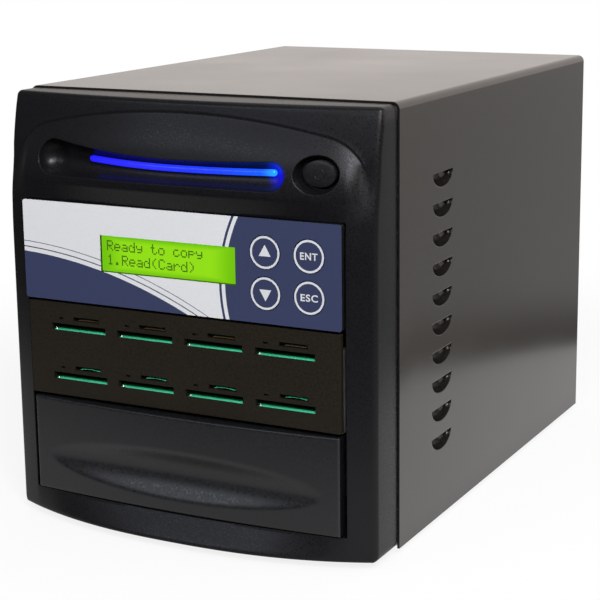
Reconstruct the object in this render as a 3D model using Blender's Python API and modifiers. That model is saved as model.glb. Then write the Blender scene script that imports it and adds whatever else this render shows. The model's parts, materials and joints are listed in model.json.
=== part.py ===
"""SD card duplicator: a three-bay desktop tower with a moulded, bulged front bezel.

The case frame has X to the right seen from the front, Y running back from the seam between bezel and
cover, and Z up from the cover's lower edge. The empty at the end of this frame places it so that the
origin lies under the middle of the whole object, at the soles of its feet. Lengths are in metres.
"""

import math

import bmesh
import bpy
from mathutils import Matrix

# Case
CASE_WIDTH = 0.174
CASE_DEPTH = 0.227
CASE_HEIGHT = 0.1828
SHEET = 0.001
BEND_RADIUS = 0.003
TOUCH_GAP = 0.0003
OVERRUN = 0.002
SLIVER = 0.0001

# Bays
BAY_COUNT = 3
BAY_PITCH = 0.0425
BAY_BOTTOM_Z = 0.0108
DEVICE_INSET = 0.014
DEVICE_DEPTH = 0.135

# Front bezel
BEZEL_INSET = 0.0008
BEZEL_BOTTOM_Z = 0.0003
BEZEL_SEAM_GAP = 0.0008
BEZEL_WALL = 0.0025
BEZEL_EDGE_DEPTH = 0.0196
BEZEL_BULGE = 0.0166
BEZEL_BULGE_POWER = 2.4
BEZEL_SKIN_BULGE = 0.0082
BEZEL_LEAN = 0.0076
BEZEL_LEAN_START_DROP = 0.0163
BEZEL_CORNER = 0.0028
BEZEL_EDGE_ROUND = 0.0018
BEZEL_POST_RADIUS = 0.003
BEZEL_POST_MARGIN = 0.006
WINDOW_INSET = 0.0119
WINDOW_SLEEVE = 0.0012
WINDOW_SLEEVE_END_Y = -0.010
WINDOW_TOP_BULGE = 0.0022
WINDOW_BOTTOM_BULGE = 0.005

# Brow: the arch-shaped scoop above the bays
BROW_APEX_DROP = 0.0046
BROW_FALL = 0.01171
BROW_CORNER = 0.022
BROW_MARGIN = 0.0032
BROW_LIP_RISE = 0.0077
BROW_LIP_BULGE = 0.0069
BROW_POWER = 1.6

# Light groove and the light bar in it
GROOVE_LEFT_INSET = 0.0259
GROOVE_TO_BUTTON = 0.0191
GROOVE_HEIGHT_SHARE = 0.2516
GROOVE_RADIUS = 0.0051
GROOVE_LEFT_RISE = 0.0024
GROOVE_RIGHT_RISE = 0.0004
GROOVE_LEFT_SWELL = 0.0026
GROOVE_RIGHT_SWELL = 0.0008
LIGHT_BAR_LEFT_INSET = 0.0173
LIGHT_BAR_RIGHT_REACH = 0.0009
LIGHT_BAR_RADIUS = 0.0017
LIGHT_BAR_PROUD = 0.0009
LIGHT_BAR_ABOVE_GROOVE = 0.0011
LIGHT_BOARD_SIZE = (0.014, 0.0016, 0.010)
LIGHT_DIODE_SIZE = (0.003, 0.0022, 0.003)

# Power button and its switch
BUTTON_INSET = 0.0235
BUTTON_HEIGHT_SHARE = 0.32
BUTTON_WIDTH = 0.0147
BUTTON_HEIGHT = 0.0116
BUTTON_FRONT_Y = -0.0217
BUTTON_CROWN = 0.0006
BUTTON_LENGTH = 0.009
BUTTON_FLANGE = 0.0012
BUTTON_FLANGE_THICKNESS = 0.0012
BUTTON_STEM_RADIUS = 0.0022
BUTTON_TRAVEL = 0.0025
BUTTON_DISH_WIDTH = 0.0188
BUTTON_DISH_HEIGHT = 0.0151
BUTTON_DISH_DEPTH = 0.0045
BUTTON_DISH_FLOOR_SHARE = 0.9
BUTTON_SLEEVE = 0.0024
SWITCH_SIZE = (0.012, 0.009, 0.012)

# LCD bay
LCD_PLATE_SIDE_GAP = 0.0005
LCD_PLATE_HEIGHT = 0.0421
LCD_PLATE_FRONT_Y = -0.02665
LCD_PLATE_THICKNESS = 0.003
LCD_PLATE_CORNER = 0.0012
LCD_WINDOW_WIDTH = 0.064
LCD_WINDOW_HEIGHT = 0.0154
LCD_WINDOW_TO_KEYS = 0.0454
LCD_WINDOW_RISE = 0.0009
LCD_GLASS_RECESS = 0.00075
LCD_MODULE_SIZE = (0.080, 0.0016, 0.036)
LCD_SHROUD_SIZE = (0.0715, 0.0022, 0.0265)
KEY_DIAMETER = 0.0134
KEY_INSET = 0.014
KEY_COLUMN_PITCH = 0.0194
KEY_ROW_MID_RISE = -0.0006
KEY_ROW_PITCH = 0.0165
KEY_TRAVEL = 0.0005
KEY_FLANGE = 0.001
KEY_FLANGE_THICKNESS = 0.001
KEY_STEM_RADIUS = 0.002
KEY_STEM_LENGTH = 0.0018
KEYPAD_BOARD_SIZE = (0.034, 0.0016, 0.034)
KEYPAD_SHIFT = 0.0028
KEYPAD_DOME = 0.006
KEYPAD_DOME_HEIGHT = 0.0008
BOSS_RADIUS = 0.0018

# Trays in the LCD bay and the card bay
TRAY_WALL_HEIGHT = 0.034
TRAY_LIFT = 0.0006
TRAY_LEDGE = 0.005
TRAY_LEDGE_LENGTH = 0.010
TRAY_LEDGE_SHARES = (0.12, 0.36, 0.58)

# Controller board
CONTROLLER_WIDTH = 0.110
CONTROLLER_DEPTH_SHARE = 0.667
CONTROLLER_THICKNESS = 0.0016
CONTROLLER_FRONT_Y = 0.012
CONTROLLER_POST_RADIUS = 0.003
CONTROLLER_POST_HEIGHT = 0.005
CONTROLLER_POST_INSET = 0.005
CHIP_SIZE = (0.030, 0.030, 0.002)
CHIP_PLACE_SHARES = (-0.18, 0.5)
CONNECTOR_SIZE = (0.040, 0.006, 0.009)
HEATSINK_SIZE = (0.034, 0.034, 0.012)
HEATSINK_BASE = 0.003
HEATSINK_FINS = 6
HEATSINK_FIN_SHARE = 0.35

# Card bay
CARD_PLATE_SIDE_GAP = 0.0014
CARD_PLATE_HEIGHT = 0.0403
CARD_PLATE_FRONT_Y = -0.0261
CARD_PLATE_THICKNESS = 0.0025
CARD_PLATE_CORNER = 0.0006
CARD_COLUMNS = 4
CARD_ROWS = 2
CARD_COLUMN_PITCH = 0.0327
CARD_ROW_PITCH = 0.0214
CARD_ROW_DROP = 0.001
SD_SLOT_WIDTH = 0.027
SD_SLOT_HEIGHT = 0.0029
MICRO_SLOT_WIDTH = 0.0129
MICRO_SLOT_HEIGHT = 0.0019
MICRO_SLOT_X = 0.0039
MICRO_SLOT_RISE = 0.0039
LAMP_WINDOW_WIDTH = 0.0021
LAMP_WINDOW_HEIGHT = 0.0009
LAMP_WINDOW_X = -0.0086
LAMP_WINDOW_RISE = 0.0037
CARD_BOARD_SIDE_GAP = 0.0013
CARD_BOARD_DEPTH = 0.085
CARD_BOARD_THICKNESS = 0.0016
CARD_BOARD_DROP = 0.0013
SOCKET_WIDTH = 0.0285
SOCKET_DEPTH = 0.027
SOCKET_HEIGHT = 0.0066
SOCKET_SETBACK = 0.006
SD_THROAT_WIDTH = 0.0246
SD_THROAT_TOP = 0.0013
SD_THROAT_DEPTH = 0.0225
MICRO_THROAT_WIDTH = 0.0116
MICRO_THROAT_HEIGHT = 0.0011
MICRO_THROAT_DEPTH = 0.014

# Blank bay cover
BLANK_SIDE_GAP = 0.0023
BLANK_HEIGHT = 0.0413
BLANK_EDGE_Y = -0.0262
BLANK_BULGE = 0.0038
BLANK_DEPTH = 0.012
BLANK_WALL = 0.002
BLANK_EDGE_ROUND = 0.0008
BLANK_DISH_HALF_LENGTH = 0.060
BLANK_DISH_HALF_HEIGHT = 0.0108
BLANK_DISH_DROP = 0.0038
BLANK_DISH_DEPTH = 0.0025
BLANK_DISH_POWER = 1.5
BLANK_DISH_RIM = 0.0006
BLANK_HOOK_SIZE = (0.0042, 0.004, 0.010)

# Sheet cover
COVER_LIP = 0.010
LOUVRE_COUNT = 10
LOUVRE_PITCH = 0.0126
LOUVRE_TOP_DROP = 0.0332
LOUVRE_Y = 0.0438
LOUVRE_HALF_LENGTH = 0.0106
LOUVRE_HEIGHT = 0.0063
LOUVRE_DEPTH = 0.0045
LOUVRE_WALL = 0.0009

# Chassis
PAN_LIFT = 0.0005
PAN_FLANGE = 0.014
FRAME_OPENING_MARGIN = 0.0015
BRACKET_HEIGHT_MARGIN = 0.0012
BRACKET_DEPTH = 0.150
BRACKET_FOOT = 0.009
BRACKET_SLOT_LENGTH = 0.014
BRACKET_SLOT_HEIGHT = 0.0035
BRACKET_SLOT_Y = (0.030, 0.085)
BRACKET_SLOT_RISE_SHARES = (0.24, 0.52)

# Feet and screws
FOOT_HEIGHT = 0.003
FOOT_RADIUS = 0.008
FOOT_TAPER = 0.001
FOOT_ROUND = 0.0006
FOOT_INSET_X = 0.022
FOOT_INSET_Y = 0.022
SCREW_HEAD_RADIUS = 0.0031
SCREW_HEAD_HEIGHT = 0.0016
SCREW_SHANK_RADIUS = 0.0015
SCREW_SHANK_LENGTH = 0.006
SCREW_CLEARANCE = 0.0004
COVER_SCREW_HEIGHT_SHARES = (0.164, 0.82)
COVER_SCREW_INSET = 0.0055

# Power supply
SUPPLY_WIDTH = 0.125
SUPPLY_DEPTH = 0.100
SUPPLY_HEIGHT = 0.0635
SUPPLY_TOP_GAP = 0.0085
SUPPLY_WINDOW_WIDTH = 0.110
SUPPLY_WINDOW_HEIGHT = 0.0585
SUPPLY_SCREW_INSET = (0.0032, 0.006)
SUPPLY_FAN_SIZE = 0.060
SUPPLY_FAN_DEPTH = 0.020
SUPPLY_FAN_X = -0.0245
SUPPLY_VENT_SIZE = (0.003, 0.030)
SUPPLY_VENT_COUNT = 8
SUPPLY_VENT_PITCH = 0.008
SUPPLY_BOARD_SIZE = (0.110, 0.066, 0.0016)
SUPPLY_BOARD_MARGIN = 0.004
SUPPLY_BOARD_RISE = 0.005
SUPPLY_COMPONENT_SIZES = (
    (0.030, 0.026, 0.024),
    (0.022, 0.022, 0.032),
    (0.003, 0.050, 0.034),
    (0.003, 0.050, 0.034),
    (0.018, 0.016, 0.014),
)
SUPPLY_COMPONENT_SHARES = ((0.0, 0.4), (-0.36, 0.3), (-0.2, 0.5), (0.2, 0.5), (0.36, 0.4))
INLET_X = 0.037
INLET_RISE = 0.010
INLET_WIDTH = 0.027
INLET_HEIGHT = 0.020
INLET_DEPTH = 0.018
INLET_FLANGE = 0.0018
INLET_FLANGE_THICKNESS = 0.0015
INLET_WELL_WIDTH = 0.0235
INLET_WELL_HEIGHT = 0.0165
INLET_WELL_DEPTH = 0.0155
INLET_WELL_CHAMFER = 0.0045
INLET_PIN_SIZE = (0.002, 0.0105, 0.004)
INLET_PIN_PLACES = ((-0.007, -0.001), (0.007, -0.001), (0.0, 0.003))
MAINS_SWITCH_RISE = -0.0165
MAINS_SWITCH_WIDTH = 0.021
MAINS_SWITCH_HEIGHT = 0.015
MAINS_SWITCH_DEPTH = 0.016
ROCKER_WIDTH = 0.0165
ROCKER_HEIGHT = 0.0105
ROCKER_THICKNESS = 0.0055
ROCKER_TILT = math.radians(9.0)
ROCKER_CLEARANCE = 0.0005
ROCKER_AXIS_DEPTH = 0.0022

# Fans
CASE_FAN_SIZE = 0.080
CASE_FAN_DEPTH = 0.025
CASE_FAN_Z = 0.058
CASE_FAN_X = -0.030
FAN_CORNER = 0.004
FAN_BORE_SHARE = 0.475
FAN_HUB_SHARE = 0.2
FAN_ROOT_SHARE = 0.9
FAN_TIP_CLEARANCE = 0.001
FAN_BLADES = 7
FAN_BLADE_THICKNESS = 0.0012
FAN_BLADE_SWEEP = math.radians(38.0)
FAN_BLADE_DEPTH_SHARE = 0.55
FAN_STRUTS = 3
FAN_STRUT_START = math.radians(30.0)
FAN_STRUT_THICKNESS = 0.0025
FAN_STRUT_WIDTH = 0.004
GUARD_RING_SHARES = (0.22, 0.40)
GUARD_WIRE = 0.0008
GUARD_ARM_SHARE = 0.62
GUARD_ARM_THICKNESS = 0.0012
GUARD_EYE_RADIUS = 0.0028
GUARD_EYE_HEIGHT = 0.0022

# Cables held inside the case
RIBBON_WIDTH = 0.034
RIBBON_THICKNESS = 0.0009
RIBBON_LOOP = 0.009
HARNESS_RADIUS = 0.0025
HARNESS_X = 0.030

# Counts of sides and steps
ROUND_SIDES = 24
SMALL_SIDES = 12
CORNER_STEPS = 4
GROOVE_STEPS = 18
GROOVE_END_STEPS = 4
LOUVRE_SIDES = 12
LOUVRE_RINGS = 6
BORE_SIDES = 8
WIRE_SIDES = 5
RING_STEPS = 20
FOOT_STEPS = 16
HARNESS_STEPS = 10
RIBBON_STEPS = 8
BLADE_STEPS = 2

# Sizes worked out from the ones above
HALF_WIDTH = CASE_WIDTH / 2
BEZEL_HALF = HALF_WIDTH - BEZEL_INSET
BEZEL_TOP_Z = CASE_HEIGHT - BEZEL_INSET
WINDOW_HALF = HALF_WIDTH - WINDOW_INSET
WINDOW_BOTTOM_Z = BAY_BOTTOM_Z
WINDOW_TOP_Z = BAY_BOTTOM_Z + BAY_COUNT * BAY_PITCH
BEZEL_LEAN_START_Z = WINDOW_TOP_Z - BEZEL_LEAN_START_DROP
BROW_APEX_Z = CASE_HEIGHT - BROW_APEX_DROP
BROW_LIP_Z = WINDOW_TOP_Z + BROW_LIP_RISE
BROW_HALF_WIDTH = BEZEL_HALF - BROW_MARGIN
BROW_RADIUS = (BROW_HALF_WIDTH ** 2 + BROW_FALL ** 2) / (2 * BROW_FALL)
GROOVE_Z = BROW_LIP_Z + (BROW_APEX_Z - BROW_LIP_Z) * GROOVE_HEIGHT_SHARE
BUTTON_X = BEZEL_HALF - BUTTON_INSET
GROOVE_LEFT_X = GROOVE_LEFT_INSET - BEZEL_HALF
GROOVE_RIGHT_X = BUTTON_X - GROOVE_TO_BUTTON
LIGHT_BAR_LEFT_X = GROOVE_LEFT_X + LIGHT_BAR_LEFT_INSET
LIGHT_BAR_RIGHT_X = GROOVE_RIGHT_X + LIGHT_BAR_RIGHT_REACH
BUTTON_Z = BROW_LIP_Z + (BROW_APEX_Z - BROW_LIP_Z) * BUTTON_HEIGHT_SHARE
LOUVRE_TOP_Z = CASE_HEIGHT - LOUVRE_TOP_DROP
INNER_HALF = HALF_WIDTH - SHEET - TOUCH_GAP
INNER_TOP_Z = CASE_HEIGHT - SHEET - TOUCH_GAP
FRAME_FRONT_Y = TOUCH_GAP
FRAME_BACK_Y = FRAME_FRONT_Y + SHEET
REAR_PANEL_BACK_Y = CASE_DEPTH - SHEET - TOUCH_GAP
REAR_PANEL_FRONT_Y = REAR_PANEL_BACK_Y - SHEET
DEVICE_HALF = HALF_WIDTH - DEVICE_INSET
LCD_PLATE_WIDTH = 2 * (WINDOW_HALF - LCD_PLATE_SIDE_GAP)
KEY_COLUMNS_X = (LCD_PLATE_WIDTH / 2 - KEY_INSET - KEY_COLUMN_PITCH, LCD_PLATE_WIDTH / 2 - KEY_INSET)
LCD_WINDOW_X = KEY_COLUMNS_X[0] - LCD_WINDOW_TO_KEYS
CARD_PLATE_WIDTH = 2 * (WINDOW_HALF - CARD_PLATE_SIDE_GAP)
CARD_BOARD_WIDTH = 2 * (DEVICE_HALF - CARD_BOARD_SIDE_GAP)
BLANK_WIDTH = 2 * (WINDOW_HALF - BLANK_SIDE_GAP)
CONTROLLER_DEPTH = DEVICE_DEPTH * CONTROLLER_DEPTH_SHARE
PAN_TOP_Z = PAN_LIFT + SHEET
REAR_INSIDE_Y = REAR_PANEL_FRONT_Y - TOUCH_GAP
SUPPLY_TOP_Z = CASE_HEIGHT - SHEET - SUPPLY_TOP_GAP
SUPPLY_MID_Z = SUPPLY_TOP_Z - SUPPLY_HEIGHT / 2
SUPPLY_FRONT_Y = REAR_INSIDE_Y - SUPPLY_DEPTH

# Finishes: colour, roughness, metallic
POWDER_COAT = ((0.045, 0.043, 0.040), 0.45, 0.0)
GALVANISED = ((0.55, 0.56, 0.57), 0.35, 0.9)
BLACK_ABS = ((0.012, 0.012, 0.014), 0.55, 0.0)
BLACK_NYLON = ((0.018, 0.018, 0.019), 0.4, 0.0)
PRINTED_FILM = ((0.80, 0.81, 0.83), 0.35, 0.0)
NAVY_FILM = ((0.045, 0.052, 0.12), 0.35, 0.0)
LCD_GREEN = ((0.26, 0.70, 0.02), 0.2, 0.0)
BLUE_ACRYLIC = ((0.02, 0.05, 0.9), 0.15, 0.0)
GREEN_BOARD = ((0.012, 0.27, 0.11), 0.4, 0.0)
STEEL = ((0.62, 0.62, 0.63), 0.25, 1.0)
ALUMINIUM = ((0.75, 0.75, 0.76), 0.35, 1.0)
RUBBER = ((0.015, 0.015, 0.015), 0.8, 0.0)
GREY_CABLE = ((0.45, 0.46, 0.48), 0.5, 0.0)

TURN_Y = Matrix.Rotation(math.radians(90.0), 4, "X")
TURN_X = Matrix(((0, 0, 1, 0), (1, 0, 0, 0), (0, 1, 0, 0), (0, 0, 0, 1)))
NO_TURN = Matrix.Identity(4)


# Scene and object helpers

def clear_scene():
    """Removes every object of the scene that the script is run in."""
    for item in list(bpy.data.objects):
        bpy.data.objects.remove(item, do_unlink=True)


def add_collection(name):
    """Makes a collection in the scene and gives it back."""
    made = bpy.data.collections.new(name)
    bpy.context.scene.collection.children.link(made)
    return made


def finish_material(name, finish):
    """One Principled material for one piece."""
    colour, roughness, metallic = finish
    made = bpy.data.materials.new(name + "_finish")
    made.use_nodes = True
    shader = made.node_tree.nodes["Principled BSDF"]
    shader.inputs["Base Color"].default_value = (*colour, 1.0)
    shader.inputs["Roughness"].default_value = roughness
    shader.inputs["Metallic"].default_value = metallic
    made.diffuse_color = (*colour, 1.0)
    return made


def piece(name, mesh, finish, place=(0.0, 0.0, 0.0)):
    """A sub-part: its mesh, its own material and its place in the case frame."""
    made = bpy.data.objects.new(name, mesh)
    made.data.materials.append(finish_material(name, finish))
    bpy.data.collections[PARTS_NAME].objects.link(made)
    made.parent = bpy.data.objects[FRAME_NAME]
    made.location = place
    return made


def tool(name, mesh, place=(0.0, 0.0, 0.0)):
    """A body that cuts or adds to a sub-part and isn't one itself."""
    made = bpy.data.objects.new(name, mesh)
    bpy.data.collections[TOOLS_NAME].objects.link(made)
    made.parent = bpy.data.objects[FRAME_NAME]
    made.location = place
    made.hide_render = True
    made.display_type = "WIRE"
    return made


def combine(target, other, operation):
    """Adds a Boolean modifier with the exact solver."""
    step = target.modifiers.new(operation.lower() + "_" + other.name, "BOOLEAN")
    step.operation = operation
    step.object = other
    step.solver = "EXACT"


def cut(target, other):
    """Takes the other body away from the target."""
    combine(target, other, "DIFFERENCE")


def join(target, other):
    """Adds the other body to the target."""
    combine(target, other, "UNION")


# Mesh makers

def finished_mesh(name, bm):
    """Writes a bmesh to a new mesh with its faces pointing out."""
    bmesh.ops.recalc_face_normals(bm, faces=bm.faces[:])
    mesh = bpy.data.meshes.new(name)
    bm.to_mesh(mesh)
    bm.free()
    return mesh


def smooth(mesh):
    """Shades a round mesh smooth, with its edges kept sharp."""
    mesh.shade_smooth()
    mesh.set_sharp_from_angle(angle=math.radians(35.0))
    return mesh


def box_mesh(name, size):
    """A box about its own middle."""
    bm = bmesh.new()
    bmesh.ops.create_cube(bm, size=1.0, matrix=Matrix.Diagonal((*size, 1.0)))
    return finished_mesh(name, bm)


def middle(low, high):
    """The point halfway between two corners."""
    return tuple((a + b) / 2 for a, b in zip(low, high))


def block(name, low, high, finish):
    """A box-shaped sub-part between two corners."""
    return piece(name, box_mesh(name, span(low, high)), finish, middle(low, high))


def block_tool(name, low, high):
    """A box-shaped tool between two corners."""
    return tool(name, box_mesh(name, span(low, high)), middle(low, high))


def span(low, high):
    """The size of the box between two corners."""
    return tuple(b - a for a, b in zip(low, high))


def rod_mesh(name, radius, length, turn=NO_TURN, sides=ROUND_SIDES, end_radius=None):
    """A cylinder or cone about its own middle, along Z before the turn."""
    bm = bmesh.new()
    far_radius = radius if end_radius is None else end_radius
    bmesh.ops.create_cone(
        bm, cap_ends=True, segments=sides, radius1=radius, radius2=far_radius, depth=length, matrix=turn
    )
    return smooth(finished_mesh(name, bm))


def oval_mesh(name, width, height, length, share=1.0):
    """An oval rod along Y about its own middle, whose back end has the given share of the size."""
    bm = bmesh.new()
    stretch = Matrix.Diagonal((width / 2, length, height / 2, 1.0))
    bmesh.ops.create_cone(
        bm, cap_ends=True, segments=ROUND_SIDES, radius1=share, radius2=1.0, depth=1.0, matrix=stretch @ TURN_Y
    )
    return smooth(finished_mesh(name, bm))


def flat_mesh(name, outlines, thickness, turn=NO_TURN):
    """A plate from a filled 2D curve: the first outline is its rim, the others are its holes."""
    curve = bpy.data.curves.new(name, "CURVE")
    curve.dimensions = "2D"
    curve.fill_mode = "BOTH"
    curve.extrude = thickness / 2
    for outline in outlines:
        spline = curve.splines.new("POLY")
        spline.points.add(len(outline) - 1)
        for point, place in zip(spline.points, outline):
            point.co = (place[0], place[1], 0.0, 1.0)
        spline.use_cyclic_u = True
    return mesh_of_curve(name, curve, turn)


def tube_mesh(name, path, radius, shares=None, resolution=3):
    """A round tube with filled caps along a path; shares scale its radius point by point."""
    curve = bpy.data.curves.new(name, "CURVE")
    curve.dimensions = "3D"
    curve.bevel_depth = radius
    curve.bevel_resolution = resolution
    curve.use_fill_caps = True
    spline = curve.splines.new("POLY")
    spline.points.add(len(path) - 1)
    for index, place in enumerate(path):
        spline.points[index].co = (*place, 1.0)
        spline.points[index].radius = 1.0 if shares is None else shares[index]
    return smooth(mesh_of_curve(name, curve, NO_TURN))


def mesh_of_curve(name, curve, turn):
    """The welded mesh of a curve, turned into place; the curve itself is removed."""
    holder = bpy.data.objects.new(name + "_curve", curve)
    bpy.context.scene.collection.objects.link(holder)
    bpy.context.view_layer.update()
    found = holder.evaluated_get(bpy.context.evaluated_depsgraph_get())
    mesh = bpy.data.meshes.new_from_object(found)
    bpy.data.objects.remove(holder, do_unlink=True)
    bpy.data.curves.remove(curve)
    bm = bmesh.new()
    bm.from_mesh(mesh)
    bpy.data.meshes.remove(mesh)
    bmesh.ops.remove_doubles(bm, verts=bm.verts[:], dist=SLIVER / 4)
    bmesh.ops.transform(bm, matrix=turn, verts=bm.verts[:])
    return finished_mesh(name, bm)


def turned(target, steps):
    """Turns a profile in the XZ plane once round Z with a Screw modifier."""
    screw = target.modifiers.new("turn", "SCREW")
    screw.steps = steps
    screw.render_steps = steps
    screw.use_merge_vertices = True
    screw.merge_threshold = SLIVER / 4
    screw.use_smooth_shade = True


def profile_mesh(name, points, closed=False):
    """An edge chain in the XZ plane for the Screw modifier."""
    edges = [(index, index + 1) for index in range(len(points) - 1)]
    if closed:
        edges.append((len(points) - 1, 0))
    mesh = bpy.data.meshes.new(name)
    mesh.from_pydata([(x, 0.0, z) for x, z in points], edges, [])
    return mesh


def relief_mesh(name, columns, rows, place, back_y):
    """A closed body: a grid laid out by place(column, row), run back to a flat face at back_y."""
    bm = bmesh.new()
    last_column = len(columns) - 1
    last_row = len(rows) - 1
    bmesh.ops.create_grid(bm, x_segments=last_column, y_segments=last_row, size=1.0)
    for vert in bm.verts:
        column = round((vert.co.x + 1.0) / 2.0 * last_column)
        row = round((vert.co.y + 1.0) / 2.0 * last_row)
        vert.co = place(columns[column], rows[row])
    bmesh.ops.triangulate(bm, faces=bm.faces[:])
    made = bmesh.ops.extrude_face_region(bm, geom=bm.faces[:])["geom"]
    back = [item for item in made if isinstance(item, bmesh.types.BMVert)]
    for vert in back:
        vert.co.y = back_y
    flat = [face for face in bm.faces if all(abs(v.co.y - back_y) < SLIVER / 10 for v in face.verts)]
    inner = {edge for face in flat for edge in face.edges if len(set(edge.link_faces) - set(flat)) == 0}
    bmesh.ops.dissolve_edges(bm, edges=list(inner), use_verts=True)
    return smooth(finished_mesh(name, bm))


def rectangle(width, height, middle_a=0.0, middle_b=0.0):
    """The four corners of a rectangle."""
    return [
        (middle_a - width / 2, middle_b - height / 2),
        (middle_a + width / 2, middle_b - height / 2),
        (middle_a + width / 2, middle_b + height / 2),
        (middle_a - width / 2, middle_b + height / 2),
    ]


def round_rectangle(width, height, radius, middle_a=0.0, middle_b=0.0):
    """A rectangle with round corners."""
    points = []
    for quarter in range(4):
        start = math.pi / 2 * quarter
        side_a = 1 if quarter in (0, 3) else -1
        side_b = 1 if quarter in (0, 1) else -1
        for step in range(CORNER_STEPS + 1):
            angle = start + math.pi / 2 * step / CORNER_STEPS
            points.append((
                middle_a + side_a * (width / 2 - radius) + radius * math.cos(angle),
                middle_b + side_b * (height / 2 - radius) + radius * math.sin(angle),
            ))
    return points


def circle(radius, middle_a=0.0, middle_b=0.0, sides=ROUND_SIDES):
    """The corners of a circle."""
    return [
        (
            middle_a + radius * math.cos(2 * math.pi * index / sides),
            middle_b + radius * math.sin(2 * math.pi * index / sides),
        )
        for index in range(sides)
    ]


def blend(start, end, share):
    """A value that share of the way from start to end."""
    return start + (end - start) * share


# The bezel's front surface

def lean(z):
    """How far the bezel's side edge leans back at a height."""
    if z <= BEZEL_LEAN_START_Z:
        return 0.0
    share = (z - BEZEL_LEAN_START_Z) / (BEZEL_TOP_Z - BEZEL_LEAN_START_Z)
    return BEZEL_LEAN * share ** 2


def brow_z(x):
    """Height of the arch line that bounds the scoop."""
    reach = abs(x)
    corner_x = BROW_HALF_WIDTH - BROW_CORNER
    centre_z = BROW_APEX_Z - BROW_RADIUS
    inner = BROW_RADIUS - BROW_CORNER
    corner_z = centre_z + math.sqrt(inner ** 2 - corner_x ** 2)
    tangent_x = corner_x * BROW_RADIUS / inner
    if reach <= tangent_x:
        return centre_z + math.sqrt(BROW_RADIUS ** 2 - reach ** 2)
    if reach >= BROW_HALF_WIDTH:
        return corner_z
    return corner_z + math.sqrt(max(BROW_CORNER ** 2 - (reach - corner_x) ** 2, 0.0))


def skin_y(x, z):
    """The outer skin, above and beside the arch."""
    bulge = BEZEL_SKIN_BULGE * (1.0 - (x / BEZEL_HALF) ** 2)
    return lean(z) - BEZEL_EDGE_DEPTH - bulge


def body_y(x, z):
    """The full bulge that the side strips and the bottom edge follow."""
    bulge = BEZEL_BULGE * (1.0 - abs(x / BEZEL_HALF) ** BEZEL_BULGE_POWER)
    return lean(z) - BEZEL_EDGE_DEPTH - bulge


def window_y(x, z, bulge):
    """A line that crosses between the side strips with its own, flatter bulge."""
    if abs(x) >= WINDOW_HALF:
        return body_y(x, z)
    return body_y(WINDOW_HALF, z) - bulge * (1.0 - (x / WINDOW_HALF) ** 2)


def front_y(x, z):
    """Depth of the bezel's front surface."""
    arch = brow_z(x)
    if z >= arch:
        return skin_y(x, z)
    if z >= BROW_LIP_Z:
        share = 1.0 - ((z - BROW_LIP_Z) / (arch - BROW_LIP_Z)) ** BROW_POWER
        return blend(skin_y(x, arch), window_y(x, BROW_LIP_Z, BROW_LIP_BULGE), share)
    if z >= WINDOW_TOP_Z:
        share = (BROW_LIP_Z - z) / (BROW_LIP_Z - WINDOW_TOP_Z)
        bulge = blend(BROW_LIP_BULGE, WINDOW_TOP_BULGE, share)
        return window_y(x, z, bulge)
    if z >= WINDOW_BOTTOM_Z:
        share = (WINDOW_TOP_Z - z) / (WINDOW_TOP_Z - WINDOW_BOTTOM_Z)
        return window_y(x, z, blend(WINDOW_TOP_BULGE, WINDOW_BOTTOM_BULGE, share))
    share = (WINDOW_BOTTOM_Z - z) / (WINDOW_BOTTOM_Z - BEZEL_BOTTOM_Z)
    return blend(window_y(x, z, WINDOW_BOTTOM_BULGE), body_y(x, z), share)


def outline_half(z):
    """Half width of the bezel's outline at a height, with its round corners."""
    from_end = min(BEZEL_TOP_Z - z, z - BEZEL_BOTTOM_Z)
    if from_end >= BEZEL_CORNER:
        return BEZEL_HALF
    rest = BEZEL_CORNER - max(from_end, 0.0)
    return BEZEL_HALF - BEZEL_CORNER + math.sqrt(BEZEL_CORNER ** 2 - rest ** 2)


def edge_setback(distance, radius):
    """How far a rounded edge falls back at a distance from the outline."""
    if distance >= radius:
        return 0.0
    rest = radius - max(distance, 0.0)
    return radius - math.sqrt(radius ** 2 - rest ** 2)


EDGE_SHARES = (0.0, 0.15, 0.45, 1.0)
BROW_COLUMN_SHARES = (1.0, 0.992, 0.975, 0.945, 0.905, 0.855, 0.793)
FIELD_COLUMN_SHARES = (0.8, 0.64, 0.44, 0.22, 0.0)
SCOOP_ROW_SHARES = (0.0, 0.18, 0.38, 0.58, 0.79, 1.0)
RIM_ROW_SHARES = (0.0, 0.35, 0.7)
HOLLOW_COLUMN_SHARES = (1.0, 0.93, 0.8, 0.55, 0.28, 0.0)
HOLLOW_ROW_SHARES = (0.0, 0.06, 0.7, 0.8, 0.86, 0.91, 0.95, 1.0)


def mirrored(values):
    """A falling list of positive values as a rising list on both sides of zero."""
    return [-value for value in values if value > 0.0] + [value for value in reversed(values)]


def bezel_columns():
    """Distances from the middle at which the bezel's grid has its columns."""
    edge = [BEZEL_HALF - BEZEL_EDGE_ROUND * share for share in EDGE_SHARES]
    ridge = [BROW_HALF_WIDTH * share for share in BROW_COLUMN_SHARES]
    field = [WINDOW_HALF * share for share in FIELD_COLUMN_SHARES]
    return mirrored(edge + ridge + field)


def bezel_rows():
    """The grid's rows from bottom to top: fixed heights, or shares of the scoop under the arch."""
    rounded = [("height", BEZEL_BOTTOM_Z + BEZEL_EDGE_ROUND * share) for share in EDGE_SHARES]
    rim_start = BEZEL_BOTTOM_Z + BEZEL_CORNER
    rim = [("height", blend(rim_start, WINDOW_BOTTOM_Z, share)) for share in RIM_ROW_SHARES]
    sides = [("height", WINDOW_BOTTOM_Z), ("height", BEZEL_LEAN_START_Z), ("height", WINDOW_TOP_Z)]
    scoop = [("scoop", share) for share in SCOOP_ROW_SHARES]
    top = [("crest", share) for share in (0.33, 0.66)]
    corner = [("height", BEZEL_TOP_Z - BEZEL_EDGE_ROUND * share) for share in reversed(EDGE_SHARES)]
    return rounded + rim + sides + scoop + top + corner


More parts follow.
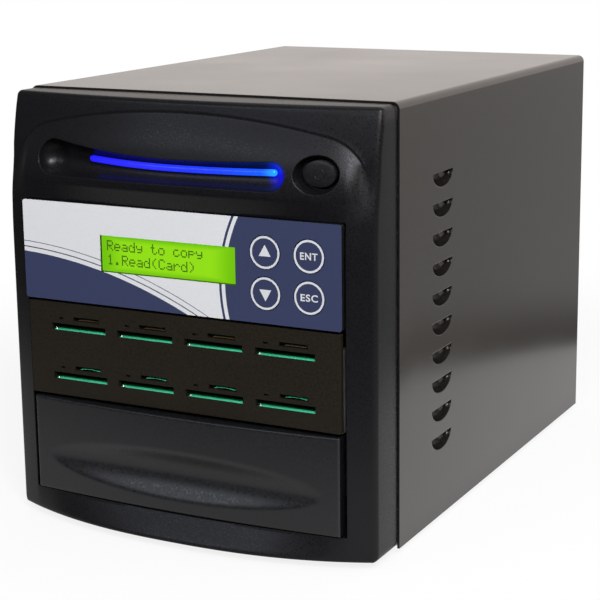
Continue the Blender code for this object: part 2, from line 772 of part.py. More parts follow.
def bezel_place(column, row):
    """Where a grid point of the bezel's front lies."""
    kind, value = row
    x = column
    if kind == "scoop":
        z = blend(BROW_LIP_Z, brow_z(x), value)
    elif kind == "crest":
        z = blend(brow_z(x), BEZEL_TOP_Z - BEZEL_EDGE_ROUND, value)
    else:
        z = value
        x = column * outline_half(z) / BEZEL_HALF
    from_side = outline_half(z) - abs(x)
    from_end = min(BEZEL_TOP_Z - z, z - BEZEL_BOTTOM_Z)
    setback = edge_setback(min(from_side, from_end), BEZEL_EDGE_ROUND)
    return (x, front_y(x, z) + setback, z)


def hollow_place(column, row):
    """Where a grid point of the bezel's hollow lies, one wall behind the front."""
    x = column * (BEZEL_HALF - BEZEL_WALL)
    z = blend(BEZEL_BOTTOM_Z + BEZEL_WALL, BEZEL_TOP_Z - BEZEL_WALL, row)
    return (x, front_y(x, z) + BEZEL_WALL, z)


def groove_path():
    """Middle line of the light groove and its radius, point by point, with round ends."""
    points = []
    length = GROOVE_RIGHT_X - GROOVE_LEFT_X
    for step in range(-GROOVE_END_STEPS, GROOVE_STEPS + GROOVE_END_STEPS + 1):
        share = min(max(step / GROOVE_STEPS, 0.0), 1.0)
        x = GROOVE_LEFT_X + length * share
        radius = groove_radius(x)
        z = groove_z(x)
        beyond = max(-step, step - GROOVE_STEPS, 0) / GROOVE_END_STEPS
        angle = beyond * math.radians(85.0)
        side = -1.0 if step < 0 else 1.0
        x += side * radius * math.sin(angle)
        points.append(((x, front_y(x, z), z), radius * math.cos(angle)))
    return points


def groove_share(x):
    """How near a place is to the groove's left or right end, as two shares."""
    left = min(max(x / GROOVE_LEFT_X, 0.0), 1.0)
    right = min(max(x / GROOVE_RIGHT_X, 0.0), 1.0)
    return left, right


def groove_radius(x):
    """The groove widens towards its ends, most at the left."""
    left, right = groove_share(x)
    return GROOVE_RADIUS + GROOVE_LEFT_SWELL * left ** 2 + GROOVE_RIGHT_SWELL * right ** 2


def groove_z(x):
    """The groove's middle rises towards its ends."""
    left, right = groove_share(x)
    return GROOVE_Z + GROOVE_LEFT_RISE * left ** 2 + GROOVE_RIGHT_RISE * right ** 2


def groove_mesh(name, extra):
    """The groove's body, wider by an extra wall."""
    points = groove_path()
    shares = [(radius + extra) / GROOVE_RADIUS for _, radius in points]
    return tube_mesh(name, [place for place, _ in points], GROOVE_RADIUS, shares)


def light_bar_point(x):
    """Middle of the light bar: set into the groove's back wall."""
    z = groove_z(x) + LIGHT_BAR_ABOVE_GROOVE
    radius = groove_radius(x)
    floor_y = front_y(x, groove_z(x)) + math.sqrt(radius ** 2 - LIGHT_BAR_ABOVE_GROOVE ** 2)
    return (x, floor_y - LIGHT_BAR_PROUD, z)


def light_bar_mesh(name, extra):
    """The light bar, wider and longer by an extra gap."""
    start = LIGHT_BAR_LEFT_X - extra
    length = LIGHT_BAR_RIGHT_X + extra - start
    path = [light_bar_point(start + length * step / GROOVE_STEPS) for step in range(GROOVE_STEPS + 1)]
    return tube_mesh(name, path, LIGHT_BAR_RADIUS + extra, resolution=2)


def front_bezel():
    """The moulded bezel: a bulged shell with scoop, light groove, button dish and bay window."""
    seam_y = -BEZEL_SEAM_GAP
    bezel = piece(
        "front_bezel",
        relief_mesh("front_bezel", bezel_columns(), bezel_rows(), bezel_place, seam_y),
        BLACK_ABS,
    )
    hollow_mesh = relief_mesh(
        "bezel_hollow", mirrored(HOLLOW_COLUMN_SHARES), HOLLOW_ROW_SHARES, hollow_place, OVERRUN
    )
    hollow = tool("bezel_hollow", hollow_mesh)
    fat = tool("groove_backing", groove_mesh("groove_backing", BEZEL_WALL))
    cut(hollow, fat)
    front = front_y(0.0, BEZEL_BOTTOM_Z) - OVERRUN
    sleeve_half = WINDOW_HALF + WINDOW_SLEEVE
    sleeve = block_tool(
        "window_sleeve",
        (-sleeve_half, front, WINDOW_BOTTOM_Z - WINDOW_SLEEVE),
        (sleeve_half, WINDOW_SLEEVE_END_Y, WINDOW_TOP_Z + WINDOW_SLEEVE),
    )
    cut(hollow, sleeve)
    boss_length = -WINDOW_SLEEVE_END_Y
    boss_end = button_sleeve_end_y()
    boss = tool(
        "button_boss",
        oval_mesh(
            "button_boss",
            BUTTON_WIDTH + 2 * (TOUCH_GAP + BUTTON_SLEEVE),
            BUTTON_HEIGHT + 2 * (TOUCH_GAP + BUTTON_SLEEVE),
            boss_length,
        ),
        (BUTTON_X, boss_end - boss_length / 2, BUTTON_Z),
    )
    cut(hollow, boss)
    cut(bezel, hollow)
    join(bezel, bezel_posts())
    cut(bezel, tool("groove_cut", groove_mesh("groove_cut", 0.0)))
    cut(bezel, tool("light_bar_seat", light_bar_mesh("light_bar_seat", TOUCH_GAP)))
    cut(bezel, button_dish())
    cut(bezel, button_bore())
    window = block_tool(
        "bay_window", (-WINDOW_HALF, front, WINDOW_BOTTOM_Z), (WINDOW_HALF, OVERRUN, WINDOW_TOP_Z)
    )
    cut(bezel, window)
    return bezel


def bezel_posts():
    """Four clip posts that seat the bezel on the front frame."""
    bm = bmesh.new()
    for side in (-1.0, 1.0):
        for z in (BEZEL_BOTTOM_Z + BEZEL_POST_MARGIN, BEZEL_TOP_Z - BEZEL_POST_MARGIN):
            x = side * (BEZEL_HALF - BEZEL_POST_MARGIN)
            start_y = front_y(x, z) + BEZEL_WALL / 2
            place = Matrix.Translation((x, start_y / 2, z)) @ TURN_Y
            bmesh.ops.create_cone(
                bm, cap_ends=True, segments=SMALL_SIDES, radius1=BEZEL_POST_RADIUS,
                radius2=BEZEL_POST_RADIUS, depth=-start_y, matrix=place,
            )
    return tool("bezel_posts", finished_mesh("bezel_posts", bm))


def button_sleeve_end_y():
    """Back end of the sleeve that guides the power button."""
    return BUTTON_FRONT_Y + BUTTON_LENGTH - BUTTON_FLANGE_THICKNESS - TOUCH_GAP


def button_dish():
    """The recess that the power button stands in, a little narrower at its floor."""
    depth = BUTTON_DISH_DEPTH + OVERRUN
    grow = 1.0 + (1.0 - BUTTON_DISH_FLOOR_SHARE) * OVERRUN / BUTTON_DISH_DEPTH
    surface_y = front_y(BUTTON_X, BUTTON_Z)
    mesh = oval_mesh(
        "button_dish",
        BUTTON_DISH_WIDTH * grow,
        BUTTON_DISH_HEIGHT * grow,
        depth,
        BUTTON_DISH_FLOOR_SHARE / grow,
    )
    return tool("button_dish", mesh, (BUTTON_X, surface_y + (BUTTON_DISH_DEPTH - OVERRUN) / 2, BUTTON_Z))


def button_bore():
    """The oval bore that the power button slides in."""
    length = -BUTTON_FRONT_Y + 2 * OVERRUN
    mesh = oval_mesh(
        "button_bore", BUTTON_WIDTH + 2 * TOUCH_GAP, BUTTON_HEIGHT + 2 * TOUCH_GAP, length
    )
    return tool("button_bore", mesh, (BUTTON_X, BUTTON_FRONT_Y - OVERRUN + length / 2, BUTTON_Z))


def light_parts():
    """The acrylic light bar and the small board that lights its right end."""
    piece("light_bar", light_bar_mesh("light_bar", 0.0), BLUE_ACRYLIC)
    width, thickness, height = LIGHT_BOARD_SIZE
    x = GROOVE_RIGHT_X - width / 2
    z = groove_z(x)
    front = max(
        front_y(place, z) + groove_radius(place) + BEZEL_WALL for place in (x - width / 2, x, GROOVE_RIGHT_X)
    )
    front += TOUCH_GAP
    board = block(
        "light_board",
        (x - width / 2, front, z - height / 2),
        (x + width / 2, front + thickness, z + height / 2),
        GREEN_BOARD,
    )
    wide, deep, high = LIGHT_DIODE_SIZE
    diode = block_tool(
        "light_diode",
        (x - wide / 2, front + thickness - SLIVER, z - high / 2),
        (x + wide / 2, front + thickness + deep, z + high / 2),
    )
    join(board, diode)


def power_button():
    """The oval push button with its flange and stem, origin on its slide axis."""
    place = (BUTTON_X, BUTTON_FRONT_Y, BUTTON_Z)
    body_length = BUTTON_LENGTH - BUTTON_CROWN
    button = piece(
        "power_button",
        oval_mesh("power_button", BUTTON_WIDTH, BUTTON_HEIGHT, body_length),
        BLACK_NYLON,
        place,
    )
    button.data.transform(Matrix.Translation((0.0, BUTTON_CROWN + body_length / 2, 0.0)))
    crown_share = 1.0 + 2 * BUTTON_CROWN / BUTTON_HEIGHT
    crown = tool(
        "button_crown",
        oval_mesh(
            "button_crown",
            BUTTON_WIDTH - 2 * BUTTON_CROWN,
            BUTTON_HEIGHT - 2 * BUTTON_CROWN,
            2 * BUTTON_CROWN,
            crown_share,
        ),
        (BUTTON_X, BUTTON_FRONT_Y + BUTTON_CROWN, BUTTON_Z),
    )
    join(button, crown)
    flange_y = BUTTON_FRONT_Y + BUTTON_LENGTH - BUTTON_FLANGE_THICKNESS / 2
    flange = tool(
        "button_flange",
        oval_mesh(
            "button_flange",
            BUTTON_WIDTH + 2 * BUTTON_FLANGE,
            BUTTON_HEIGHT + 2 * BUTTON_FLANGE,
            BUTTON_FLANGE_THICKNESS,
        ),
        (BUTTON_X, flange_y, BUTTON_Z),
    )
    join(button, flange)
    stem_start = BUTTON_FRONT_Y + BUTTON_LENGTH - SLIVER
    stem_end = switch_front_y() - BUTTON_TRAVEL - TOUCH_GAP
    stem = tool(
        "button_stem",
        rod_mesh("button_stem", BUTTON_STEM_RADIUS, stem_end - stem_start, TURN_Y, SMALL_SIDES),
        (BUTTON_X, (stem_start + stem_end) / 2, BUTTON_Z),
    )
    join(button, stem)


def switch_front_y():
    """Front face of the power switch."""
    return FRAME_FRONT_Y - TOUCH_GAP - SWITCH_SIZE[1]


def power_switch():
    """The switch body behind the power button, fixed to the front frame."""
    width, depth, height = SWITCH_SIZE
    block(
        "power_switch",
        (BUTTON_X - width / 2, switch_front_y(), BUTTON_Z - height / 2),
        (BUTTON_X + width / 2, switch_front_y() + depth, BUTTON_Z + height / 2),
        BLACK_NYLON,
    )


# LCD bay

def bay_middle_z(index):
    """Middle height of a bay, counted from the bottom."""
    return BAY_BOTTOM_Z + BAY_PITCH * (index + 0.5)


def lcd_window_z():
    """Middle height of the LCD window."""
    return bay_middle_z(2) + LCD_WINDOW_RISE


def key_places():
    """Names and places of the four keys on the LCD faceplate."""
    mid = bay_middle_z(2) + KEY_ROW_MID_RISE
    high = mid + KEY_ROW_PITCH / 2
    low = mid - KEY_ROW_PITCH / 2
    left, right = KEY_COLUMNS_X
    return {
        "key_up": (left, high),
        "key_down": (left, low),
        "key_enter": (right, high),
        "key_escape": (right, low),
    }


def lcd_faceplate():
    """The LCD bay's faceplate with its window, key holes and mounting bosses."""
    mid_z = bay_middle_z(2)
    outlines = [round_rectangle(LCD_PLATE_WIDTH, LCD_PLATE_HEIGHT, LCD_PLATE_CORNER, 0.0, mid_z)]
    outlines.append(rectangle(LCD_WINDOW_WIDTH, LCD_WINDOW_HEIGHT, LCD_WINDOW_X, lcd_window_z()))
    for x, z in key_places().values():
        outlines.append(circle(KEY_DIAMETER / 2 + TOUCH_GAP, x, z))
    mesh = flat_mesh("lcd_faceplate", outlines, LCD_PLATE_THICKNESS, TURN_Y)
    place = (0.0, LCD_PLATE_FRONT_Y + LCD_PLATE_THICKNESS / 2, 0.0)
    plate = piece("lcd_faceplate", mesh, PRINTED_FILM, place)
    join(plate, lcd_bosses())


def lcd_plate_back_y():
    """Back face of the LCD faceplate."""
    return LCD_PLATE_FRONT_Y + LCD_PLATE_THICKNESS


def lcd_module_y():
    """Front face of the LCD module's circuit board."""
    return lcd_plate_back_y() + TOUCH_GAP + LCD_SHROUD_SIZE[1]


def keypad_board_y():
    """Front face of the keypad board, clear of the keys when they are pressed."""
    key_end = lcd_plate_back_y() + TOUCH_GAP + KEY_FLANGE_THICKNESS + KEY_STEM_LENGTH
    return key_end + KEY_TRAVEL + TOUCH_GAP + KEYPAD_DOME_HEIGHT


def keypad_middle():
    """Middle of the keypad board."""
    x = (KEY_COLUMNS_X[0] + KEY_COLUMNS_X[1]) / 2 + KEYPAD_SHIFT
    return x, bay_middle_z(2) + KEY_ROW_MID_RISE


def lcd_bosses():
    """Bosses behind the faceplate that seat the LCD module and the keypad board."""
    bm = bmesh.new()
    width, _, height = LCD_MODULE_SIZE
    ends = []
    for x_share, z_share in ((-0.5, -0.5), (-0.5, 0.5), (0.5, -0.5), (0.5, 0.5)):
        inset = 2 * BOSS_RADIUS
        x = LCD_WINDOW_X + x_share * (width - inset)
        z = lcd_window_z() + z_share * (height - inset)
        ends.append((x, z, lcd_module_y() - TOUCH_GAP))
    key_x, key_z = keypad_middle()
    for z_share in (-0.5, 0.5):
        x = key_x + KEYPAD_BOARD_SIZE[0] / 2 - BOSS_RADIUS
        z = key_z + z_share * (KEYPAD_BOARD_SIZE[2] - 2 * BOSS_RADIUS)
        ends.append((x, z, keypad_board_y() - TOUCH_GAP))
    start = lcd_plate_back_y() - SLIVER
    for x, z, end in ends:
        place = Matrix.Translation((x, (start + end) / 2, z)) @ TURN_Y
        bmesh.ops.create_cone(
            bm, cap_ends=True, segments=BORE_SIDES, radius1=BOSS_RADIUS, radius2=BOSS_RADIUS,
            depth=end - start, matrix=place,
        )
    return tool("lcd_bosses", finished_mesh("lcd_bosses", bm))


def lcd_module():
    """The LCD: circuit board, metal shroud and glass that fills the window."""
    width, thickness, height = LCD_MODULE_SIZE
    z = lcd_window_z()
    front = lcd_module_y()
    module = block(
        "lcd_module",
        (LCD_WINDOW_X - width / 2, front, z - height / 2),
        (LCD_WINDOW_X + width / 2, front + thickness, z + height / 2),
        LCD_GREEN,
    )
    wide, deep, high = LCD_SHROUD_SIZE
    shroud = block_tool(
        "lcd_shroud",
        (LCD_WINDOW_X - wide / 2, front - deep, z - high / 2),
        (LCD_WINDOW_X + wide / 2, front + SLIVER, z + high / 2),
    )
    join(module, shroud)
    glass_wide = LCD_WINDOW_WIDTH - 2 * TOUCH_GAP
    glass_high = LCD_WINDOW_HEIGHT - 2 * TOUCH_GAP
    glass = block_tool(
        "lcd_glass",
        (LCD_WINDOW_X - glass_wide / 2, LCD_PLATE_FRONT_Y + LCD_GLASS_RECESS, z - glass_high / 2),
        (LCD_WINDOW_X + glass_wide / 2, front - deep + SLIVER, z + glass_high / 2),
    )
    join(module, glass)


def keypad():
    """Four sprung keys and the board with their contact domes."""
    board_y = keypad_board_y()
    key_x, key_z = keypad_middle()
    width, thickness, height = KEYPAD_BOARD_SIZE
    board = block(
        "keypad_board",
        (key_x - width / 2, board_y, key_z - height / 2),
        (key_x + width / 2, board_y + thickness, key_z + height / 2),
        GREEN_BOARD,
    )
    domes = bmesh.new()
    dome = Matrix.Diagonal((KEYPAD_DOME, KEYPAD_DOME_HEIGHT + SLIVER, KEYPAD_DOME, 1.0))
    for x, z in key_places().values():
        centre = Matrix.Translation((x, board_y + (SLIVER - KEYPAD_DOME_HEIGHT) / 2, z))
        bmesh.ops.create_cube(domes, size=1.0, matrix=centre @ dome)
    join(board, tool("keypad_domes", finished_mesh("keypad_domes", domes)))
    for name, (x, z) in key_places().items():
        key(name, x, z)


def key(name, x, z):
    """One round key: its face in the plate, a flange behind it and a stem."""
    body = piece(
        name,
        rod_mesh(name, KEY_DIAMETER / 2, LCD_PLATE_THICKNESS + TOUCH_GAP + SLIVER, TURN_Y),
        NAVY_FILM,
        (x, LCD_PLATE_FRONT_Y, z),
    )
    body.data.transform(Matrix.Translation((0.0, (LCD_PLATE_THICKNESS + TOUCH_GAP + SLIVER) / 2, 0.0)))
    flange_y = lcd_plate_back_y() + TOUCH_GAP + KEY_FLANGE_THICKNESS / 2
    flange = tool(
        name + "_flange",
        rod_mesh(name + "_flange", KEY_DIAMETER / 2 + KEY_FLANGE, KEY_FLANGE_THICKNESS, TURN_Y),
        (x, flange_y, z),
    )
    join(body, flange)
    stem_length = KEY_STEM_LENGTH + SLIVER
    stem_y = flange_y + (KEY_FLANGE_THICKNESS + KEY_STEM_LENGTH - SLIVER) / 2
    stem = tool(
        name + "_stem",
        rod_mesh(name + "_stem", KEY_STEM_RADIUS, stem_length, TURN_Y, SMALL_SIDES),
        (x, stem_y, z),
    )
    join(body, stem)


def tray_outline(bottom_z):
    """Section of a bay tray: a flat bottom with upright walls."""
    half = DEVICE_HALF
    top = bottom_z + TRAY_WALL_HEIGHT
    return [
        (-half, bottom_z),
        (half, bottom_z),
        (half, top),
        (half - SHEET, top),
        (half - SHEET, bottom_z + SHEET),
        (-half + SHEET, bottom_z + SHEET),
        (-half + SHEET, top),
        (-half, top),
    ]


def bay_tray(name, index, front_y_value):
    """A folded sheet tray in one bay, seated between the bay brackets."""
    bottom_z = tray_bottom_z(index)
    mesh = flat_mesh(name, [tray_outline(bottom_z)], DEVICE_DEPTH, TURN_Y)
    place = (0.0, front_y_value + DEVICE_DEPTH / 2, 0.0)
    return piece(name, mesh, GALVANISED, place)


def tray_bottom_z(index):
    """Underside of a tray."""
    return BAY_BOTTOM_Z + BAY_PITCH * index + TRAY_LIFT


def lcd_tray():
    """The LCD bay's tray with the posts of the controller board."""
    tray = bay_tray("lcd_bay_tray", 2, lcd_plate_back_y() + TOUCH_GAP)
    width, depth = CONTROLLER_WIDTH, CONTROLLER_DEPTH
    floor_z = tray_bottom_z(2) + SHEET
    posts = bmesh.new()
    half_x = width / 2 - CONTROLLER_POST_INSET
    front = CONTROLLER_FRONT_Y + CONTROLLER_POST_INSET
    back = CONTROLLER_FRONT_Y + depth - CONTROLLER_POST_INSET
    height = CONTROLLER_POST_HEIGHT + SLIVER
    for x in (-half_x, half_x):
        for y in (front, back):
            centre = Matrix.Translation((x, y, floor_z + height / 2 - SLIVER))
            bmesh.ops.create_cone(
                posts, cap_ends=True, segments=SMALL_SIDES, radius1=CONTROLLER_POST_RADIUS,
                radius2=CONTROLLER_POST_RADIUS, depth=height, matrix=centre,
            )
    join(tray, tool("controller_posts", finished_mesh("controller_posts", posts)))


def controller_board_z():
    """Underside of the controller board."""
    return tray_bottom_z(2) + SHEET + CONTROLLER_POST_HEIGHT + TOUCH_GAP


def controller():
    """The controller board with its chip and connectors, and the heatsink on the chip."""
    width, depth, thickness = CONTROLLER_WIDTH, CONTROLLER_DEPTH, CONTROLLER_THICKNESS
    bottom = controller_board_z()
    top = bottom + thickness
    back_y = CONTROLLER_FRONT_Y + depth
    board = block(
        "controller_board",
        (-width / 2, CONTROLLER_FRONT_Y, bottom),
        (width / 2, back_y, top),
        GREEN_BOARD,
    )
    chip_x = width * CHIP_PLACE_SHARES[0]
    chip_y = CONTROLLER_FRONT_Y + depth * CHIP_PLACE_SHARES[1]
    wide, deep, high = CHIP_SIZE
    chip = block_tool(
        "controller_chip",
        (chip_x - wide / 2, chip_y - deep / 2, top - SLIVER),
        (chip_x + wide / 2, chip_y + deep / 2, top + high),
    )
    join(board, chip)
    for name, x in (("ribbon_connector", 0.0), ("power_connector", HARNESS_X)):
        size_x = CONNECTOR_SIZE[0] if name == "ribbon_connector" else CONNECTOR_SIZE[2]
        plug = block_tool(
            name,
            (x - size_x / 2, back_y - CONNECTOR_SIZE[1], top - SLIVER),
            (x + size_x / 2, back_y - SLIVER, top + CONNECTOR_SIZE[2]),
        )
        join(board, plug)
    heatsink(chip_x, chip_y, top + high + TOUCH_GAP)


def heatsink(x, y, bottom_z):
    """A finned heatsink: a comb section run along Y."""
    width, depth, height = HEATSINK_SIZE
    pitch = width / (HEATSINK_FINS - 1 + HEATSINK_FIN_SHARE)
    fin = pitch * HEATSINK_FIN_SHARE
    outline = [(-width / 2, 0.0), (width / 2, 0.0)]
    for index in reversed(range(HEATSINK_FINS)):
        left = -width / 2 + pitch * index
        right = left + fin
        foot = height if index == HEATSINK_FINS - 1 else HEATSINK_BASE
        if foot == HEATSINK_BASE:
            outline.append((right, HEATSINK_BASE))
        outline.append((right, height))
        outline.append((left, height))
        if index > 0:
            outline.append((left, HEATSINK_BASE))
    mesh = flat_mesh("controller_heatsink", [outline], depth, TURN_Y)
    piece("controller_heatsink", mesh, ALUMINIUM, (x, y, bottom_z))


# Card bay

def card_places():
    """Middles of the eight SD slots, left to right and top to bottom."""
    mid_z = bay_middle_z(1) - CARD_ROW_DROP
    places = []
    for row in range(CARD_ROWS):
        z = mid_z + CARD_ROW_PITCH * ((CARD_ROWS - 1) / 2 - row)
        for column in range(CARD_COLUMNS):
            x = CARD_COLUMN_PITCH * (column - (CARD_COLUMNS - 1) / 2)
            places.append((x, z))
    return places


def card_faceplate():
    """The card bay's faceplate with its slots and lamp windows."""
    mid_z = bay_middle_z(1)
    outlines = [round_rectangle(CARD_PLATE_WIDTH, CARD_PLATE_HEIGHT, CARD_PLATE_CORNER, 0.0, mid_z)]
    for x, z in card_places():
        outlines.append(rectangle(SD_SLOT_WIDTH, SD_SLOT_HEIGHT, x, z))
        micro_z = z + MICRO_SLOT_RISE
        outlines.append(rectangle(MICRO_SLOT_WIDTH, MICRO_SLOT_HEIGHT, x + MICRO_SLOT_X, micro_z))
        lamp_z = z + LAMP_WINDOW_RISE
        outlines.append(rectangle(LAMP_WINDOW_WIDTH, LAMP_WINDOW_HEIGHT, x + LAMP_WINDOW_X, lamp_z))
    mesh = flat_mesh("card_faceplate", outlines, CARD_PLATE_THICKNESS, TURN_Y)
    piece("card_faceplate", mesh, BLACK_ABS, (0.0, CARD_PLATE_FRONT_Y + CARD_PLATE_THICKNESS / 2, 0.0))


def card_plate_back_y():
    """Back face of the card faceplate."""
    return CARD_PLATE_FRONT_Y + CARD_PLATE_THICKNESS


def card_board_top_z(row):
    """Top face of a card board, just below its row of slots."""
    return card_places()[row * CARD_COLUMNS][1] - CARD_BOARD_DROP


def card_tray():
    """The card bay's tray, with tabs that carry the two boards."""
    front = card_plate_back_y() + TOUCH_GAP
    tray = bay_tray("card_bay_tray", 1, front)
    tabs = bmesh.new()
    wall = DEVICE_HALF - SHEET / 2
    for row in range(CARD_ROWS):
        top = card_board_top_z(row) - CARD_BOARD_THICKNESS - TOUCH_GAP
        for share in TRAY_LEDGE_SHARES:
            for side in (-1.0, 1.0):
                centre = (side * (wall - TRAY_LEDGE / 2), front + DEVICE_DEPTH * share, top - SHEET / 2)
                size = Matrix.Diagonal((TRAY_LEDGE, TRAY_LEDGE_LENGTH, SHEET, 1.0))
                bmesh.ops.create_cube(tabs, size=1.0, matrix=Matrix.Translation(centre) @ size)
    join(tray, tool("tray_tabs", finished_mesh("tray_tabs", tabs)))


def card_boards():
    """The two boards behind the card slots."""
    front = card_plate_back_y() + TOUCH_GAP
    for row, name in enumerate(("card_board_upper", "card_board_lower")):
        top = card_board_top_z(row)
        block(
            name,
            (-CARD_BOARD_WIDTH / 2, front, top - CARD_BOARD_THICKNESS),
            (CARD_BOARD_WIDTH / 2, front + CARD_BOARD_DEPTH, top),
            GREEN_BOARD,
        )


def card_sockets():
    """Eight sockets, each for an SD card with a microSD card above it."""
    for index, (x, z) in enumerate(card_places()):
        card_socket(f"card_socket_{index + 1}", x, z)


def card_socket(name, x, z):
    """One socket: the board below is the floor of its SD throat."""
    bottom = z - CARD_BOARD_DROP + TOUCH_GAP
    front = card_plate_back_y() + SOCKET_SETBACK
    body = block(
        name,
        (x - SOCKET_WIDTH / 2, front, bottom),
        (x + SOCKET_WIDTH / 2, front + SOCKET_DEPTH, bottom + SOCKET_HEIGHT),
        STEEL,
    )
    throat = block_tool(
        name + "_sd_throat",
        (x - SD_THROAT_WIDTH / 2, front - OVERRUN, bottom - OVERRUN),
        (x + SD_THROAT_WIDTH / 2, front + SD_THROAT_DEPTH, z + SD_THROAT_TOP),
    )
    cut(body, throat)
    micro_x = x + MICRO_SLOT_X
    micro_z = z + MICRO_SLOT_RISE
    micro = block_tool(
        name + "_micro_throat",
        (micro_x - MICRO_THROAT_WIDTH / 2, front - OVERRUN, micro_z - MICRO_THROAT_HEIGHT / 2),
        (micro_x + MICRO_THROAT_WIDTH / 2, front + MICRO_THROAT_DEPTH, micro_z + MICRO_THROAT_HEIGHT / 2),
    )
    cut(body, micro)


# Blank bay cover

BLANK_COLUMN_SHARES = (1.0, 0.994, 0.985, 0.9, 0.8, 0.68, 0.52, 0.35, 0.18, 0.0)
LENS_SHARES = (-1.15, -1.0, -0.75, -0.35, 0.0, 0.35, 0.75, 1.0, 1.15)


def blank_middle_z():
    """Middle height of the blank cover."""
    return bay_middle_z(0)


def lens_half(x):
    """Half height of the lens-shaped dish at a place along it."""
    share = 1.0 - min((x / BLANK_DISH_HALF_LENGTH) ** 2, 1.0)
    return max(BLANK_DISH_HALF_HEIGHT * share, BLANK_DISH_RIM)


def blank_rows():
    """Rows of the blank cover's grid: heights from its middle, or shares of the lens."""
    half = BLANK_HEIGHT / 2
    low = [("height", -half), ("height", -half + BLANK_EDGE_ROUND)]
    lens = [("lens", share) for share in LENS_SHARES]
    high = [("height", half - BLANK_EDGE_ROUND), ("height", half)]
    return low + lens + high


def blank_front_y(x):
    """The blank cover's bulged face, without its dish."""
    return BLANK_EDGE_Y - BLANK_BULGE * (1.0 - (2 * x / BLANK_WIDTH) ** 2)


def blank_place(column, row):
    """Where a grid point of the blank cover's face lies."""
    x = column * BLANK_WIDTH / 2
    kind, value = row
    y = blank_front_y(x)
    if kind == "lens":
        half = lens_half(x)
        z = -BLANK_DISH_DROP + value * half
        length_share = 1.0 - min((x / BLANK_DISH_HALF_LENGTH) ** 2, 1.0)
        y += BLANK_DISH_DEPTH * length_share * max(1.0 - value ** 2, 0.0) ** BLANK_DISH_POWER
    else:
        z = value
        y += BLANK_EDGE_ROUND if abs(value) >= BLANK_HEIGHT / 2 else 0.0
    if abs(column) >= 1.0:
        y = max(y, blank_front_y(x) + BLANK_EDGE_ROUND)
    return (x, y, blank_middle_z() + z)


def blank_bay_cover():
    """The blank cover: a bulged face with a lens-shaped dish, hollow behind, with side hooks."""
    columns = mirrored(list(BLANK_COLUMN_SHARES))
    back = BLANK_EDGE_Y + BLANK_DEPTH
    mesh = relief_mesh("blank_bay_cover", columns, blank_rows(), blank_place, back)
    cover = piece("blank_bay_cover", mesh, BLACK_ABS)
    inner_width = BLANK_WIDTH / 2 - BLANK_WALL
    inner_height = BLANK_HEIGHT / 2 - BLANK_WALL
    hollow = block_tool(
        "blank_hollow",
        (-inner_width, BLANK_EDGE_Y + BLANK_WALL, blank_middle_z() - inner_height),
        (inner_width, back + OVERRUN, blank_middle_z() + inner_height),
    )
    cut(cover, hollow)
    hooks = bmesh.new()
    wide, deep, high = BLANK_HOOK_SIZE
    reach = WINDOW_HALF - TOUCH_GAP
    for side in (-1.0, 1.0):
        centre = Matrix.Translation((side * (reach - wide / 2), back - deep / 2 - SHEET, blank_middle_z()))
        bmesh.ops.create_cube(hooks, size=1.0, matrix=centre @ Matrix.Diagonal((wide, deep, high, 1.0)))
    join(cover, tool("blank_hooks", finished_mesh("blank_hooks", hooks)))


# Sheet metal

def arch_outline(half, top_z, bottom_z, radius):
    """Outline of the cover's section, with its two upper bends."""
    points = [(-half, bottom_z), (half, bottom_z)]
    for side, start in ((1.0, 0.0), (-1.0, math.pi / 2)):
        for step in range(CORNER_STEPS + 1):
            angle = start + math.pi / 2 * step / CORNER_STEPS
            points.append((
                side * (half - radius) + radius * math.cos(angle),
                top_z - radius + radius * math.sin(angle),
            ))
    return points


def top_cover():
    """The U-shaped sheet cover with louvres in both sides and a lip round its back."""
    mesh = flat_mesh(
        "top_cover", [arch_outline(HALF_WIDTH, CASE_HEIGHT, 0.0, BEND_RADIUS)], CASE_DEPTH, TURN_Y
    )
    cover = piece("top_cover", mesh, POWDER_COAT, (0.0, CASE_DEPTH / 2, 0.0))
    inner = flat_mesh(
        "cover_hollow",
        [arch_outline(HALF_WIDTH - SHEET, CASE_HEIGHT - SHEET, -OVERRUN, BEND_RADIUS - SHEET)],
        CASE_DEPTH - SHEET + OVERRUN,
        TURN_Y,
    )
    cut(cover, tool("cover_hollow", inner, (0.0, (CASE_DEPTH - SHEET - OVERRUN) / 2, 0.0)))
    lip_half = HALF_WIDTH - COVER_LIP
    opening = block_tool(
        "cover_back_opening",
        (-lip_half, CASE_DEPTH - SHEET - OVERRUN, -OVERRUN),
        (lip_half, CASE_DEPTH + OVERRUN, CASE_HEIGHT - COVER_LIP),
    )
    cut(cover, opening)
    join(cover, louvres("louvre_scoops", LOUVRE_WALL, HALF_WIDTH - SHEET / 2))
    cut(cover, louvres("louvre_cuts", 0.0, HALF_WIDTH + OVERRUN))
    for name, place in cover_screw_places().items():
        cut(cover, screw_bore(name + "_cover_bore", place))


